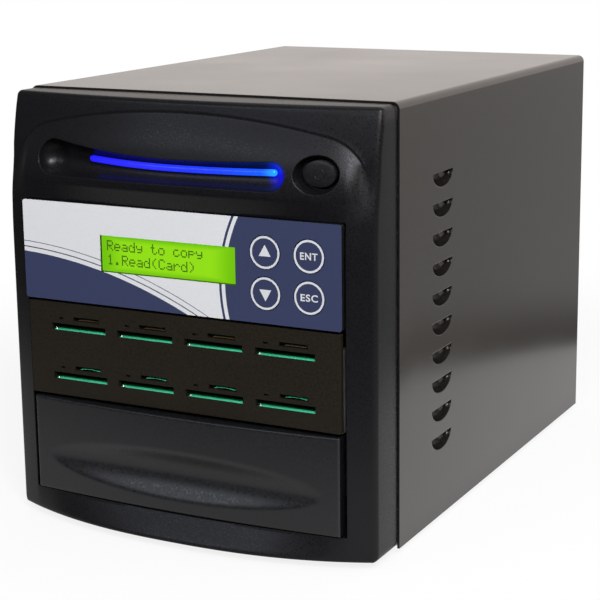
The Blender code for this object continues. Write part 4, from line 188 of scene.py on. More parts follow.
@dataclass(frozen=True)
class MouldedPlastic:
    """Black ABS from a spark-eroded mould: matt, with fine pits that glitter where light grazes them."""

    name: str
    colour: str
    roughness: float = 0.4
    gloss: float = 0.3
    grain_mm: float = 0.5
    depth_mm: float = 0.04
    rounding_mm: float = 0.3
    mottle: float = 0.25
    # Tip and radius of a painted blue glow, emitted by the plastic round the light bar's tip.
    spill: Optional[Quad] = None

    def build(self) -> bpy.types.Material:
        """Makes the material. The pits are 0.15 mm wide in truth, drawn coarser so that they show.

        Returns:
            The material.
        """
        shader = Shader(self.name)
        grain = shader.add("TexNoise", shader.grains(self.grain_mm))
        cloud = shader.add("TexNoise", shader.grains(self.grain_mm * 30.0))
        both = shader.add("Math", {0: cloud, 1: 0.4, 2: grain}, operation="MULTIPLY_ADD")
        share = shader.add("MapRange", {0: both, 1: 0.35, 2: 0.85})
        darker, lighter = (linear(self.colour, 1.0 + side * self.mottle) for side in (-1, 1))
        low, high = self.roughness - 0.08, self.roughness + 0.1
        edge = shader.add("Bevel", {"Radius": self.rounding_mm / 1000.0}, samples=6)
        pits = {"Height": grain, "Distance": self.depth_mm / 1000.0, "Normal": edge}
        if self.spill:
            self.light_spill(shader)
        return shader.finish(
            Base_Color=shader.add("Mix", {0: share, 6: darker, 7: lighter}, **COLOURS),
            Roughness=shader.add("MapRange", {0: grain, **NOISE_SPAN, 3: low, 4: high}),
            Specular_IOR_Level=self.gloss,
            Normal=shader.add("Bump", pits),
        )

    def light_spill(self, shader: Shader) -> None:
        """Painted light: a blue glow emitted by the plastic round the lit bar's tip, standing in for the
        light it throws on the groove's end, in case millimetres.

        Args:
            shader: The plastic's node tree.
        """
        *tip, radius = self.spill
        reach = shader.add("VectorMath", {0: shader.offset(tip)}, "Value", operation="LENGTH")
        ends = {0: reach, 1: radius / 1000.0, 2: 0.0015, 3: 0.0, 4: 0.75}
        fall = shader.add("MapRange", ends, **SMOOTH)
        shader.finish(Emission_Color=linear("#1408ff"), Emission_Strength=fall)


@dataclass(frozen=True)
class PowderCoat:
    """Sheet steel with a baked powder coat: low orange-peel skin with fine dark and light flecks."""

    name: str
    colour: str
    fleck: str
    grain_mm: float = 0.7
    gloss: float = 0.5

    def build(self) -> bpy.types.Material:
        """Makes the material.

        Returns:
            The material.
        """
        shader = Shader(self.name)
        grain = shader.add("TexNoise", shader.grains(self.grain_mm, 3.0))
        cloud = shader.add("TexNoise", shader.grains(45.0))
        share = shader.add("MapRange", {0: grain, **NOISE_SPAN})
        edge = shader.add("Bevel", {"Radius": 0.0005}, samples=6)
        shades = {0: share, 6: linear(self.colour), 7: linear(self.fleck)}
        return shader.finish(
            Base_Color=shader.add("Mix", shades, **COLOURS),
            Roughness=shader.add("MapRange", {0: cloud, **NOISE_SPAN, 3: 0.16, 4: 0.21}),
            Specular_IOR_Level=self.gloss,
            Normal=shader.add("Bump", {"Height": grain, "Distance": 0.000012, "Normal": edge}),
        )


@dataclass(frozen=True)
class GalvanisedSteel:
    """Hot-dip zinc on sheet steel: crystals a few millimetres across, each a little lighter or darker."""

    name: str = "galvanised_sheet"
    roughness: float = 0.41
    crystal_mm: float = 4.5

    def build(self) -> bpy.types.Material:
        """Makes the material.

        Returns:
            The material.
        """
        shader = Shader(self.name)
        cells = {"Vector": shader.place, "Scale": 1000.0 / self.crystal_mm}
        tone = shader.add("SeparateColor", {0: shader.add("TexVoronoi", cells, "Color")})
        ripple = shader.add("TexNoise", shader.grains(1.2))
        return shader.finish(
            Base_Color=shader.add("Mix", {0: tone, 6: linear("#a4a8aa"), 7: linear("#b6b9ba")}, **COLOURS),
            Metallic=1.0,
            Roughness=shader.add("MapRange", {0: tone, 3: self.roughness - 0.03, 4: self.roughness + 0.03}),
            Normal=shader.add("Bump", {"Height": ripple, "Distance": 0.00001}),
        )


@dataclass(frozen=True)
class PlatedMetal:
    """Nickel-plated, anodised or stamped metal with a fine rolled grain."""

    name: str
    colour: str
    roughness: float = 0.28

    def build(self) -> bpy.types.Material:
        """Makes the material.

        Returns:
            The material.
        """
        shader = Shader(self.name)
        grain = shader.add("TexNoise", shader.grains(0.6, 4.0))
        edge = shader.add("Bevel", {"Radius": 0.0002}, samples=6)
        shades = {0: grain, 6: linear(self.colour, 0.88), 7: linear(self.colour)}
        rough = {0: grain, **NOISE_SPAN, 3: self.roughness - 0.06, 4: self.roughness + 0.1}
        return shader.finish(
            Base_Color=shader.add("Mix", shades, **COLOURS),
            Metallic=1.0,
            Roughness=shader.add("MapRange", rough),
            Normal=shader.add("Bump", {"Height": grain, "Distance": 0.000006, "Normal": edge}),
        )


@dataclass(frozen=True)
class CircuitBoard:
    """Fibreglass board under green solder resist, with its copper tracks faintly raised."""

    name: str
    resist: str
    over_copper: str

    def build(self) -> bpy.types.Material:
        """Makes the material.

        Returns:
            The material.
        """
        shader = Shader(self.name)
        cells = {"Vector": shader.place, "Scale": 1000.0 / 9.0}
        reach = shader.add("TexVoronoi", cells, distance="MANHATTAN")
        stripes = shader.add("Math", {0: reach, 1: 5.0}, operation="MULTIPLY")
        saw = shader.add("Math", {0: stripes}, operation="FRACT")
        track = shader.add("Math", {0: saw, 1: 0.4}, operation="LESS_THAN")
        shades = {0: track, 6: linear(self.resist), 7: linear(self.over_copper)}
        return shader.finish(
            Base_Color=shader.add("Mix", shades, **COLOURS),
            Roughness=shader.add("MapRange", {0: track, 3: 0.34, 4: 0.26}),
            Normal=shader.add("Bump", {"Height": track, "Distance": 0.00003}),
        )


@dataclass(frozen=True)
class Rubber:
    """Matt black moulded rubber with a dusty bloom."""

    name: str = "foot_rubber"

    def build(self) -> bpy.types.Material:
        """Makes the material.

        Returns:
            The material.
        """
        shader = Shader(self.name)
        bloom = shader.add("TexNoise", shader.grains(3.0))
        grain = shader.add("TexNoise", shader.grains(0.5))
        return shader.finish(
            Base_Color=shader.add("Mix", {0: bloom, 6: linear("#161616"), 7: linear("#2a2a29")}, **COLOURS),
            Roughness=shader.add("MapRange", {0: bloom, 3: 0.92, 4: 0.8}),
            Specular_IOR_Level=0.2,
            Normal=shader.add("Bump", {"Height": grain, "Distance": 0.00003}),
        )


@dataclass(frozen=True)
class CableJacket:
    """Soft cable jacket: parallel cores show as low ribs side by side across X."""

    name: str
    colour: str
    rib_mm: float = 1.27

    def build(self) -> bpy.types.Material:
        """Makes the material.

        Returns:
            The material.
        """
        shader = Shader(self.name)
        x = shader.add("SeparateXYZ", {0: shader.place})
        turns = shader.add("Math", {0: x, 1: 2000.0 * math.pi / self.rib_mm}, operation="MULTIPLY")
        wave = shader.add("Math", {0: turns}, operation="SINE")
        share = shader.add("MapRange", {0: wave, 1: -1.0, 2: 1.0})
        shades = {0: share, 6: linear(self.colour, 0.7), 7: linear(self.colour)}
        return shader.finish(
            Base_Color=shader.add("Mix", shades, **COLOURS),
            Roughness=0.5,
            Normal=shader.add("Bump", {"Height": wave, "Distance": 0.00012}),
        )


@dataclass(frozen=True)
class PrintedFilm:
    """Matt polyester film printed from behind: white, with navy fields and thin lines bounded by arcs."""

    name: str = "printed_panel_film"
    white: str = "#eeeeee"
    navy: str = "#39405e"
    key_field: Triple = (85.0, 110.5, 62.0)
    sweep: Triple = (-85.6, -96.3, 212.6)
    rings: tuple[Quad, ...] = (
        (85.0, 110.5, 64.2, 1.1),
        (-85.6, -96.3, 214.6, 0.45),
        (-85.6, -96.3, 217.0, 0.3),
    )

    def disc(self, shader: Shader, x: float, z: float, radius: float) -> Socket:
        """1 inside a circle of the panel, given in case millimetres, and 0 outside.

        Args:
            shader: The film's node tree.
            x: Middle of the circle, across.
            z: Middle of the circle, up.
            radius: Its radius.

        Returns:
            The value.
        """
        flat = shader.add("VectorMath", {0: shader.offset((x, 0.0, z)), 1: (1, 0, 1)}, operation="MULTIPLY")
        reach = shader.add("VectorMath", {0: flat}, "Value", operation="LENGTH")
        return shader.add("Math", {0: reach, 1: radius / 1000.0}, operation="LESS_THAN")

    def build(self) -> bpy.types.Material:
        """Makes the material.

        Returns:
            The material.
        """
        shader = Shader(self.name)
        fields = [self.disc(shader, *self.key_field), self.disc(shader, *self.sweep)]
        for x, z, radius, width in self.rings:
            outer, inner = (self.disc(shader, x, z, radius + side * width / 2) for side in (1, -1))
            fields.append(shader.add("Math", {0: outer, 1: inner}, operation="SUBTRACT"))
        ink = fields[0]
        for field in fields[1:]:
            ink = shader.add("Math", {0: ink, 1: field}, operation="MAXIMUM")
        grain = shader.add("TexNoise", shader.grains(0.4))
        navy, white = (
            shader.add("Mix", {0: grain, 6: linear(code, low), 7: linear(code, high)}, **COLOURS)
            for code, low, high in ((self.navy, 1.0, 1.2), (self.white, 0.95, 1.05))
        )
        return shader.finish(
            Base_Color=shader.add("Mix", {0: ink, 6: white, 7: navy}, **COLOURS),
            Roughness=shader.add("MapRange", {0: grain, 3: 0.36, 4: 0.44}),
            Specular_IOR_Level=0.35,
            Normal=shader.add("Bump", {"Height": grain, "Distance": 0.000008}),
        )


@dataclass(frozen=True)
class Ink:
    """A printed or moulded mark in one colour, with a little grain."""

    name: str
    colour: str
    roughness: float = 0.45

    def build(self) -> bpy.types.Material:
        """Makes the material.

        Returns:
            The material.
        """
        shader = Shader(self.name)
        grain = shader.add("TexNoise", shader.grains(0.3))
        shades = {0: grain, 6: linear(self.colour, 0.9), 7: linear(self.colour, 1.05)}
        return shader.finish(
            Base_Color=shader.add("Mix", shades, **COLOURS),
            Roughness=self.roughness,
            Specular_IOR_Level=0.35,
            Normal=shader.add("Bump", {"Height": grain, "Distance": 0.000004}),
        )


@dataclass(frozen=True)
class LitDisplay:
    """Yellow-green backlit display glass: brightest in the middle, deeper green towards its edges."""

    name: str = "lit_display"
    middle: Triple = (-4.2, -27.0, 117.9)
    half_mm: Triple = (32.0, 10.0, 7.7)

    def build(self) -> bpy.types.Material:
        """Makes the material.

        Returns:
            The material.
        """
        shader = Shader(self.name)
        size = [1000.0 / half for half in self.half_mm]
        share = shader.add("VectorMath", {0: shader.offset(self.middle), 1: size}, operation="MULTIPLY")
        reach = shader.add("VectorMath", {0: share}, operation="ABSOLUTE")
        across, along = (shader.add("SeparateXYZ", {0: reach}, axis) for axis in ("X", "Z"))
        edge = shader.add("Math", {0: across, 1: along}, operation="MAXIMUM")
        fall = shader.add("MapRange", {0: edge, 1: 0.6, 2: 1.0}, **SMOOTH)
        colour = shader.add("Mix", {0: fall, 6: linear("#93e215"), 7: linear("#6fc405")}, **COLOURS)
        return shader.finish(
            Base_Color=linear("#2c4408"), Roughness=0.2, Specular_IOR_Level=0.3,
            Emission_Color=colour, Emission_Strength=0.9,
        )


@dataclass(frozen=True)
class LightGuide:
    """Clear acrylic rod lit blue from its right end, where it glows strongest and turns to pale cyan."""

    name: str = "lit_blue_acrylic"
    left_x: float = -43.0
    right_x: float = 44.5

    def build(self) -> bpy.types.Material:
        """Makes the material.

        Returns:
            The material.
        """
        shader = Shader(self.name)
        x = shader.add("SeparateXYZ", {0: shader.place})
        share = shader.add("MapRange", {0: x, 1: self.left_x / 1000.0, 2: self.right_x / 1000.0})
        glow = self.ramp(shader, share)
        streak = shader.add("TexNoise", shader.grains(0.8))
        near = shader.add("MapRange", {0: share, 1: 0.92, 2: 1.0, 3: 1.1, 4: 2.6}, **SMOOTH)
        flicker = shader.add("MapRange", {0: streak, **NOISE_SPAN, 3: 0.88, 4: 1.12})
        strength = shader.add("Math", {0: near, 1: flicker}, operation="MULTIPLY")
        return shader.finish(
            Base_Color=linear("#0c18a0"), Roughness=0.12, Emission_Color=glow, Emission_Strength=strength,
        )

    def ramp(self, shader: Shader, share: Socket) -> Socket:
        """The glow's colour from the left end to the right end.

        Args:
            shader: The rod's node tree.
            share: How far along the rod a point lies.

        Returns:
            The colour.
        """
        colour = shader.add("ValToRGB", {0: share})
        stops = colour.node.color_ramp.elements
        stops[0].color = linear("#1e14e6")
        stops[1].color = linear("#1272ff")
        for position, code in ((0.3, "#2a2af8"), (0.7, "#1c3cff"), (0.93, "#1458ff")):
            stops.new(position).color = linear(code)
        return colour


@dataclass(frozen=True)
class StudioFloor:
    """White paper sheet on a dark studio floor; camera, mirrors and glass see it white, with its shadow."""

    name: str = "studio_floor"
    paper_m: Pair = (0.26, 0.5)
    paper_side: Triple = (0.62, 0.286, 0.296)
    paper_front: Pair = (-0.19, -0.34)
    shadow_share: float = 0.16
    mirror_share: Pair = (0.5, 0.88)
    mirror_turn_m: Pair = (0.06, 0.1)
    far_share: Pair = (0.1, 0.46)
    far_rise: float = 0.16

    def build(self) -> bpy.types.Material:
        """Makes the material.

        Returns:
            The material.
        """
        shader = Shader(self.name)
        reach = shader.add("VectorMath", {0: shader.place}, "Value", operation="LENGTH")
        ends = {0: reach, 1: self.paper_m[0], 2: self.paper_m[1]}
        beyond = shader.add("MapRange", ends, **SMOOTH)
        x, y = (shader.add("SeparateXYZ", {0: shader.place}, axis) for axis in ("X", "Y"))
        slope, inner, outer = self.paper_side
        across = shader.add("Math", {0: y, 1: slope, 2: x}, operation="MULTIPLY_ADD")
        beside = shader.add("MapRange", {0: across, 1: inner, 2: outer}, **SMOOTH)
        ends = {0: y, 1: self.paper_front[0], 2: self.paper_front[1]}
        before = shader.add("MapRange", ends, **SMOOTH)
        sides = shader.add("Math", {0: beside, 1: before}, operation="MAXIMUM")
        far = shader.add("Math", {0: beyond, 1: sides}, operation="MAXIMUM")
        camera = shader.add("LightPath", out="Is Camera Ray")
        gloss, glass = (shader.add("LightPath", out=f"Is {kind} Ray") for kind in ("Glossy", "Transmission"))
        mirror = shader.add("Math", {0: gloss, 1: glass}, operation="MAXIMUM")
        paper = shader.add("Mix", {0: far, 6: linear("#707070"), 7: linear("#1c1c1c")}, **COLOURS)
        shader.finish(
            Base_Color=shader.add("Mix", {0: camera, 6: paper, 7: linear("#f4f4f4")}, **COLOURS),
            Roughness=0.9,
            Specular_IOR_Level=0.0,
        )
        lit = shader.add("MapRange", {0: far, 3: 1.0 - self.shadow_share, 4: 1.0})
        seen = shader.add("Math", {0: camera, 1: lit}, operation="MULTIPLY")
        (start, end), (front, side) = self.mirror_turn_m, self.mirror_share
        share = shader.add("MapRange", {0: x, 1: start, 2: end, 3: front, 4: side})
        near_dark, far_pale = self.far_share
        fade = {0: across, 1: outer, 2: outer + self.far_rise, 3: near_dark, 4: far_pale}
        pale = shader.add("MapRange", fade, **SMOOTH)
        rest = shader.add("Math", {0: share, 1: pale}, operation="MULTIPLY")
        near = shader.add("MapRange", {0: far, 3: share, 4: rest})
        shown = shader.add("Math", {0: mirror, 1: near, 2: seen}, operation="MULTIPLY_ADD")
        glow = shader.add("Emission", {"Color": (1.0, 1.0, 1.0, 1.0), "Strength": 1.0})
        both = shader.add("MixShader", {0: shown, 1: shader.surface.outputs[0], 2: glow})
        shader.join(shader.output, {"Surface": both})
        return shader.material


# The spill paints a blue glow, as emission, into the bezel round the light bar's tip.
BEZEL_PLASTIC = MouldedPlastic(
    "black_textured_abs", "#111113", roughness=0.32, gloss=0.25, grain_mm=0.32, depth_mm=0.02,
    rounding_mm=0.6, spill=(45.0, -23.5, 155.0, 6.3),
)
BLANK_PLASTIC = MouldedPlastic("black_satin_abs", "#101113", roughness=0.34, gloss=0.6, depth_mm=0.003)
CARD_PLASTIC = MouldedPlastic("brown_black_abs", "#1f1b13", roughness=0.5, gloss=0.2, rounding_mm=0.2)
BUTTON_PLASTIC = MouldedPlastic("black_button_abs", "#1c1c1d", roughness=0.36, gloss=0.35, rounding_mm=0.4)
NYLON = MouldedPlastic("black_nylon", "#1b1b1c", depth_mm=0.01)
COVER_COAT = PowderCoat("grey_powder_coat", "#2f2b27", "#3b3631")
# Painted shade: a darker copy of the cover's coat, for the louvre bowls and the cover's front rim, where
# shade falls.
PAINTED_SHADE_COAT = PowderCoat("painted_shade_powder_coat", "#171615", "#211f1d", gloss=0.2)
ZINC = GalvanisedSteel()
INNER_ZINC = GalvanisedSteel("dull_galvanised_sheet", roughness=0.75)
NICKEL = PlatedMetal("nickel_plate", "#c3c2bd")
BRASS = PlatedMetal("brass_contact", "#c9a04e", 0.3)
ALUMINIUM = PlatedMetal("anodised_aluminium", "#c9cacb", 0.35)
BOARD = CircuitBoard("green_circuit_board", "#16804f", "#25a068")
# Painted light: a lighter copy of the board's green, so that the tongues in the card slots and the lower
# springs look lit.
LIT_BOARD_GREEN = CircuitBoard("painted_lit_green_board", "#35c98c", "#62e0b0")
SOCKET = MouldedPlastic("black_socket_resin", "#101010", gloss=0.2)
TAPE = Ink("brown_polyimide_leaf", "#5c4c33", 0.35)
LENS = Ink("dark_lamp_lens", "#161310", 0.15)
SCREW_ZINC = PlatedMetal("zinc_plated_screw", "#b4b5b2", 0.32)
RUBBER = Rubber()
RIBBON = CableJacket("grey_ribbon_jacket", "#8d9095")
HARNESS = CableJacket("black_wire_sleeve", "#2a2a2b", 2.4)
FILM = PrintedFilm()
NAVY_INK = Ink("navy_key_film", "#3a4160", 0.4)
WHITE_INK = Ink("white_print", "#e9eaeb")
DISPLAY = LitDisplay()
DISPLAY_INK = Ink("dark_display_dots", "#38640c", 0.5)
GUIDE = LightGuide()
FLOOR = StudioFloor()

Finish = Union[
    MouldedPlastic, PowderCoat, GalvanisedSteel, PlatedMetal, CircuitBoard, Rubber, CableJacket,
    PrintedFilm, Ink, LitDisplay, LightGuide, StudioFloor,
]
_made: dict[str, bpy.types.Material] = {}


def material_of(finish: Finish) -> bpy.types.Material:
    """The one material of a finish, made on first use."""
    if finish.name not in _made:
        _made[finish.name] = finish.build()
    return _made[finish.name]


# Mesh helpers


def outward(bm: Mesh) -> Mesh:
    """Turns a mesh's faces outwards."""
    bmesh.ops.recalc_face_normals(bm, faces=bm.faces[:])
    return bm


def moved(bm: Mesh, matrix: Matrix) -> Mesh:
    """Moves a mesh by a matrix."""
    bmesh.ops.transform(bm, matrix=matrix, verts=bm.verts)
    return bm


def only(items: Iterable[object], kind: type) -> list:
    """The mesh elements of one kind."""
    return [item for item in items if isinstance(item, kind)]


def box(low: Point, high: Point) -> Mesh:
    """A box between two corners.

    Args:
        low: Lowest corner.
        high: Highest corner.

    Returns:
        The box.
    """
    bm = bmesh.new()
    bmesh.ops.create_cube(bm, size=1.0)
    size = Vector(high) - Vector(low)
    moved(bm, Matrix.Diagonal((*size, 1.0)))
    bmesh.ops.translate(bm, vec=(Vector(low) + Vector(high)) / 2, verts=bm.verts)
    return bm


def block(middle: Pair, half: Pair, span: Pair) -> Mesh:
    """A box from its middle and half size in X and Z, and its span along Y."""
    (x, z), (wide, high) = middle, half
    return box((x - wide, span[0], z - high), (x + wide, span[1], z + high))


def rod(start: Point, end: Point, radius: float, end_radius: Optional[float] = None, sides: int = 48) -> Mesh:
    """A cylinder or cone from one point to another.

    Args:
        start: Middle of the first end.
        end: Middle of the other end.
        radius: Radius at the start.
        end_radius: Radius at the end, the same when left out.
        sides: Number of sides.

    Returns:
        The cylinder or cone.
    """
    bm = bmesh.new()
    axis = Vector(end) - Vector(start)
    turn = axis.to_track_quat("Z", "Y").to_matrix().to_4x4()
    place = Matrix.Translation((Vector(start) + Vector(end)) / 2) @ turn
    last = radius if end_radius is None else end_radius
    bmesh.ops.create_cone(
        bm, cap_ends=True, segments=sides, radius1=radius, radius2=last, depth=axis.length, matrix=place
    )
    return bm


def post(
    middle: Pair, span: Pair, radius: float, end_radius: Optional[float] = None, sides: int = 48
) -> Mesh:
    """A rod that runs from front to back, from its middle in X and Z and its span along Y."""
    (x, z), (start, end) = middle, span
    return rod((x, start, z), (x, end, z), radius, end_radius, sides)


def ring(centre: Point, radius: float, wire: float, steps_round: int = 72) -> Mesh:
    """A round wire ring about an axis along Y.

    Args:
        centre: Middle of the ring.
        radius: Radius of the wire's middle line.
        wire: Radius of the wire.
        steps_round: Steps round the ring.

    Returns:
        The ring.
    """
    bm = bmesh.new()
    bmesh.ops.create_circle(bm, segments=10, radius=wire)
    bmesh.ops.translate(bm, vec=(radius, 0.0, 0.0), verts=bm.verts)
    bmesh.ops.spin(
        bm, geom=bm.edges[:], cent=(0, 0, 0), axis=(0, 1, 0), dvec=(0, 0, 0), angle=2 * math.pi,
        steps=steps_round, use_merge=True, use_duplicate=False,
    )
    bmesh.ops.remove_doubles(bm, verts=bm.verts[:], dist=0.001)
    bmesh.ops.translate(bm, vec=centre, verts=bm.verts)
    return outward(bm)


def extruded(bm: Mesh, way: Point) -> Mesh:
    """Gives a flat shape a thickness.

    Args:
        bm: The flat shape.
        way: From its first face to the other.

    Returns:
        The same mesh, now a solid.
    """
    made = bmesh.ops.extrude_face_region(bm, geom=bm.faces[:])["geom"]
    bmesh.ops.translate(bm, vec=way, verts=only(made, bmesh.types.BMVert))
    return outward(bm)


def prism(outline: Sequence[Pair], span: Pair) -> Mesh:
    """A solid from its outline in X and Z and its span along Y.

    Args:
        outline: Corners in X and Z.
        span: Depth of its two faces.

    Returns:
        The solid.
    """
    bm = bmesh.new()
    bm.faces.new([bm.verts.new((x, span[0], z)) for x, z in outline])
    return extruded(bm, (0.0, span[1] - span[0], 0.0))


def bevelled(bm: Mesh, edges: list[bmesh.types.BMEdge], radius: float, segments: int) -> Mesh:
    """Bevels the given edges.

    Args:
        bm: The solid.
        edges: Its edges to bevel.
        radius: Bevel width.
        segments: Steps of the bevel.

    Returns:
        The same solid.
    """
    bmesh.ops.bevel(
        bm, geom=edges, offset=radius, offset_type="OFFSET", affect="EDGES", segments=segments,
        profile=0.5, material=-1,
    )
    return bm


def rounded(bm: Mesh, radius: float, along: Optional[int] = None, segments: int = 3) -> Mesh:
    """Bevels a solid's sharp edges.

    Args:
        bm: The solid.
        radius: Bevel width.
        along: Only edges that run along this axis, or all edges.
        segments: Steps of the bevel.

    Returns:
        The same solid.
    """
    edges = []
    for edge in bm.edges:
        run = edge.verts[1].co - edge.verts[0].co
        straight = along is None or abs(run[along]) > 0.99 * run.length
        if straight and edge.calc_face_angle(0.0) > math.radians(40.0):
            edges.append(edge)
    return bevelled(bm, edges, radius, segments)


def linked(name: str, data: bpy.types.ID) -> bpy.types.Object:
    """A new object in the scene.

    Args:
        name: Its name.
        data: Its mesh, curve, lamp or camera.

    Returns:
        The object.
    """
    made = bpy.data.objects.new(name, data)
    bpy.context.scene.collection.objects.link(made)
    return made


def mesh_of(name: str, bm: Mesh) -> bpy.types.Mesh:
    """Turns a bmesh into a mesh.

    Args:
        name: Name of the mesh.
        bm: The bmesh; it is used up.

    Returns:
        The mesh.
    """
    mesh = bpy.data.meshes.new(name)
    bm.to_mesh(mesh)
    bm.free()
    return mesh


def evaluated(holder: bpy.types.Object) -> Mesh:
    """The mesh of an object with its modifiers applied; the object and its data are used up.

    Args:
        holder: The object.

    Returns:
        Its mesh.
    """
    bpy.context.view_layer.update()
    depsgraph = bpy.context.evaluated_depsgraph_get()
    mesh = bpy.data.meshes.new_from_object(holder.evaluated_get(depsgraph))
    bm = bmesh.new()
    bm.from_mesh(mesh)
    bpy.data.meshes.remove(mesh)
    bpy.data.batch_remove([holder, holder.data])
    return bm


def tube(path: Sequence[Point], radii: Sequence[float], resolution: int) -> Mesh:
    """A round tube with capped ends along a path, with a radius at each point.

    Args:
        path: Points of the middle line.
        radii: A radius for each point.
        resolution: Blender's bevel resolution.

    Returns:
        The tube.
    """
    curve = bpy.data.curves.new("tube", "CURVE")
    curve.dimensions = "3D"
    curve.bevel_depth = 1.0
    curve.bevel_resolution = resolution
    curve.use_fill_caps = True
    spline = curve.splines.new("POLY")
    spline.points.add(len(path) - 1)
    for point, place, radius in zip(spline.points, path, radii):
        point.co = (*place, 1.0)
        point.radius = radius
    bm = evaluated(linked("tube", curve))
    bmesh.ops.remove_doubles(bm, verts=bm.verts[:], dist=0.002)
    return outward(bm)


def combined(base: Mesh, tools: Iterable[Mesh], operation: Operation) -> Mesh:
    """Cuts solids from a base or joins them to it, exactly.

    Args:
        base: The solid that is worked on; it is used up.
        tools: The solids that cut or join; they are used up.
        operation: Cut or join.

    Returns:
        The new solid.
    """
    target = linked("solid", mesh_of("solid", base))
    helpers = []
    for bm in tools:
        helper = linked("solid", mesh_of("solid", outward(bm)))
        step = target.modifiers.new("step", "BOOLEAN")
        step.operation = operation.value
        step.solver = "EXACT"
        step.object = helper
        helpers.append(helper)
    result = evaluated(target)
    for helper in helpers:
        bpy.data.batch_remove([helper, helper.data])
    return result


def merged(parts: Iterable[Mesh]) -> Mesh:
    """Puts several solids into one mesh.

    Args:
        parts: The solids; they are used up.

    Returns:
        One mesh with all of them.
    """
    result = bmesh.new()
    for bm in parts:
        mesh = mesh_of("part", outward(bm))
        result.from_mesh(mesh)
        bpy.data.meshes.remove(mesh)
    return result


def sheet_of(columns: Sequence[float], rows: Sequence[object], place: Callable[..., Point]) -> Mesh:
    """A grid whose points are laid out by a function of column and row value.

    Args:
        columns: Value of each column.
        rows: Value of each row.
        place: Gives the point for a column's and a row's value.

    Returns:
        The sheet.
    """
    bm = bmesh.new()
    last_column, last_row = len(columns) - 1, len(rows) - 1
    bmesh.ops.create_grid(bm, x_segments=last_column, y_segments=last_row, size=1.0)
    for vert in bm.verts:
        column = round((vert.co.x + 1.0) / 2.0 * last_column)
        row = round((vert.co.y + 1.0) / 2.0 * last_row)
        vert.co = place(columns[column], rows[row])
    return bm


def backed(bm: Mesh, back_y: float) -> Mesh:
    """Runs a front sheet's rim back to a flat plane and closes it there.

    Args:
        bm: The front sheet.
        back_y: Depth of the flat back.

    Returns:
        The closed solid.
    """
    rim = [edge for edge in bm.edges if edge.is_boundary]
    made = bmesh.ops.extrude_edge_only(bm, edges=rim)["geom"]
    for vert in only(made, bmesh.types.BMVert):
        vert.co.y = back_y
    last = [edge for edge in only(made, bmesh.types.BMEdge) if edge.is_boundary]
    bmesh.ops.edgeloop_fill(bm, edges=last)
    return outward(bm)


def node_box(name: str) -> tuple[Vector, Vector]:
    """Lowest and highest corner of a CAD node at rest, in case millimetres."""
    return tuple((corner - Vector((0.0, SEAM.y, SEAM.z))) * 1000.0 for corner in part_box(name))


def middle_of(low: Vector, high: Vector) -> Pair:
    """Middle of a box in X and Z."""
    return (low.x + high.x) / 2, (low.z + high.z) / 2


def steps(start: float, end: float, count: int) -> list[float]:
    """Evenly spaced values from start up to, but not including, end."""
    return [start + (end - start) * index / count for index in range(count)]


def edge_steps(radius: float, count: int) -> list[float]:
    """Insets of the points of a rounded edge, evenly spaced round its quarter turn."""
    return [radius * (1.0 - math.cos(math.pi / 2 * share)) for share in steps(0.0, 1.0, count)]


def setback(inset: float, radius: float) -> float:
    """How far a rounded edge lies back at an inset from its rim."""
    rest = radius - max(inset, 0.0)
    return 0.0 if rest <= 0.0 else radius - math.sqrt(radius ** 2 - rest ** 2)


def mirrored(values: list[float]) -> list[float]:
    """Falling positive values as a rising row about 0."""
    return [-value for value in values] + [0.0] + values[::-1]


def smooth(share: float) -> float:
    """Eases from 0 to 1, and holds beyond."""
    held = min(max(share, 0.0), 1.0)
    return held * held * (3.0 - 2.0 * held)


def finish_piece(
    name: str, bm: Mesh, finish: Finish, body: Body = Body.CASE, stands_for: Sequence[str] = ()
) -> bpy.types.Object:
    """Places a solid in the shared frame, gives it its finish and lets it ride on its body.

    Args:
        name: The piece's name.
        bm: Its mesh in case millimetres; it is used up.
        finish: What it is made of.
        body: The CAD body that carries it.
        stands_for: CAD nodes that it replaces.

    Returns:
        The new object.
    """
    mesh = mesh_of(name, outward(bm))
    mesh.transform(PLACE)
    mesh.shade_smooth()
    mesh.set_sharp_from_angle(angle=SHARP_ANGLE)
    mesh.materials.append(material_of(finish))
    made = linked(name, mesh)
    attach(made, body.value)
    if stands_for:
        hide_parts(*stands_for)
    LOG.info("%s: %d faces", name, len(mesh.polygons))
    return made


# Sub-assemblies


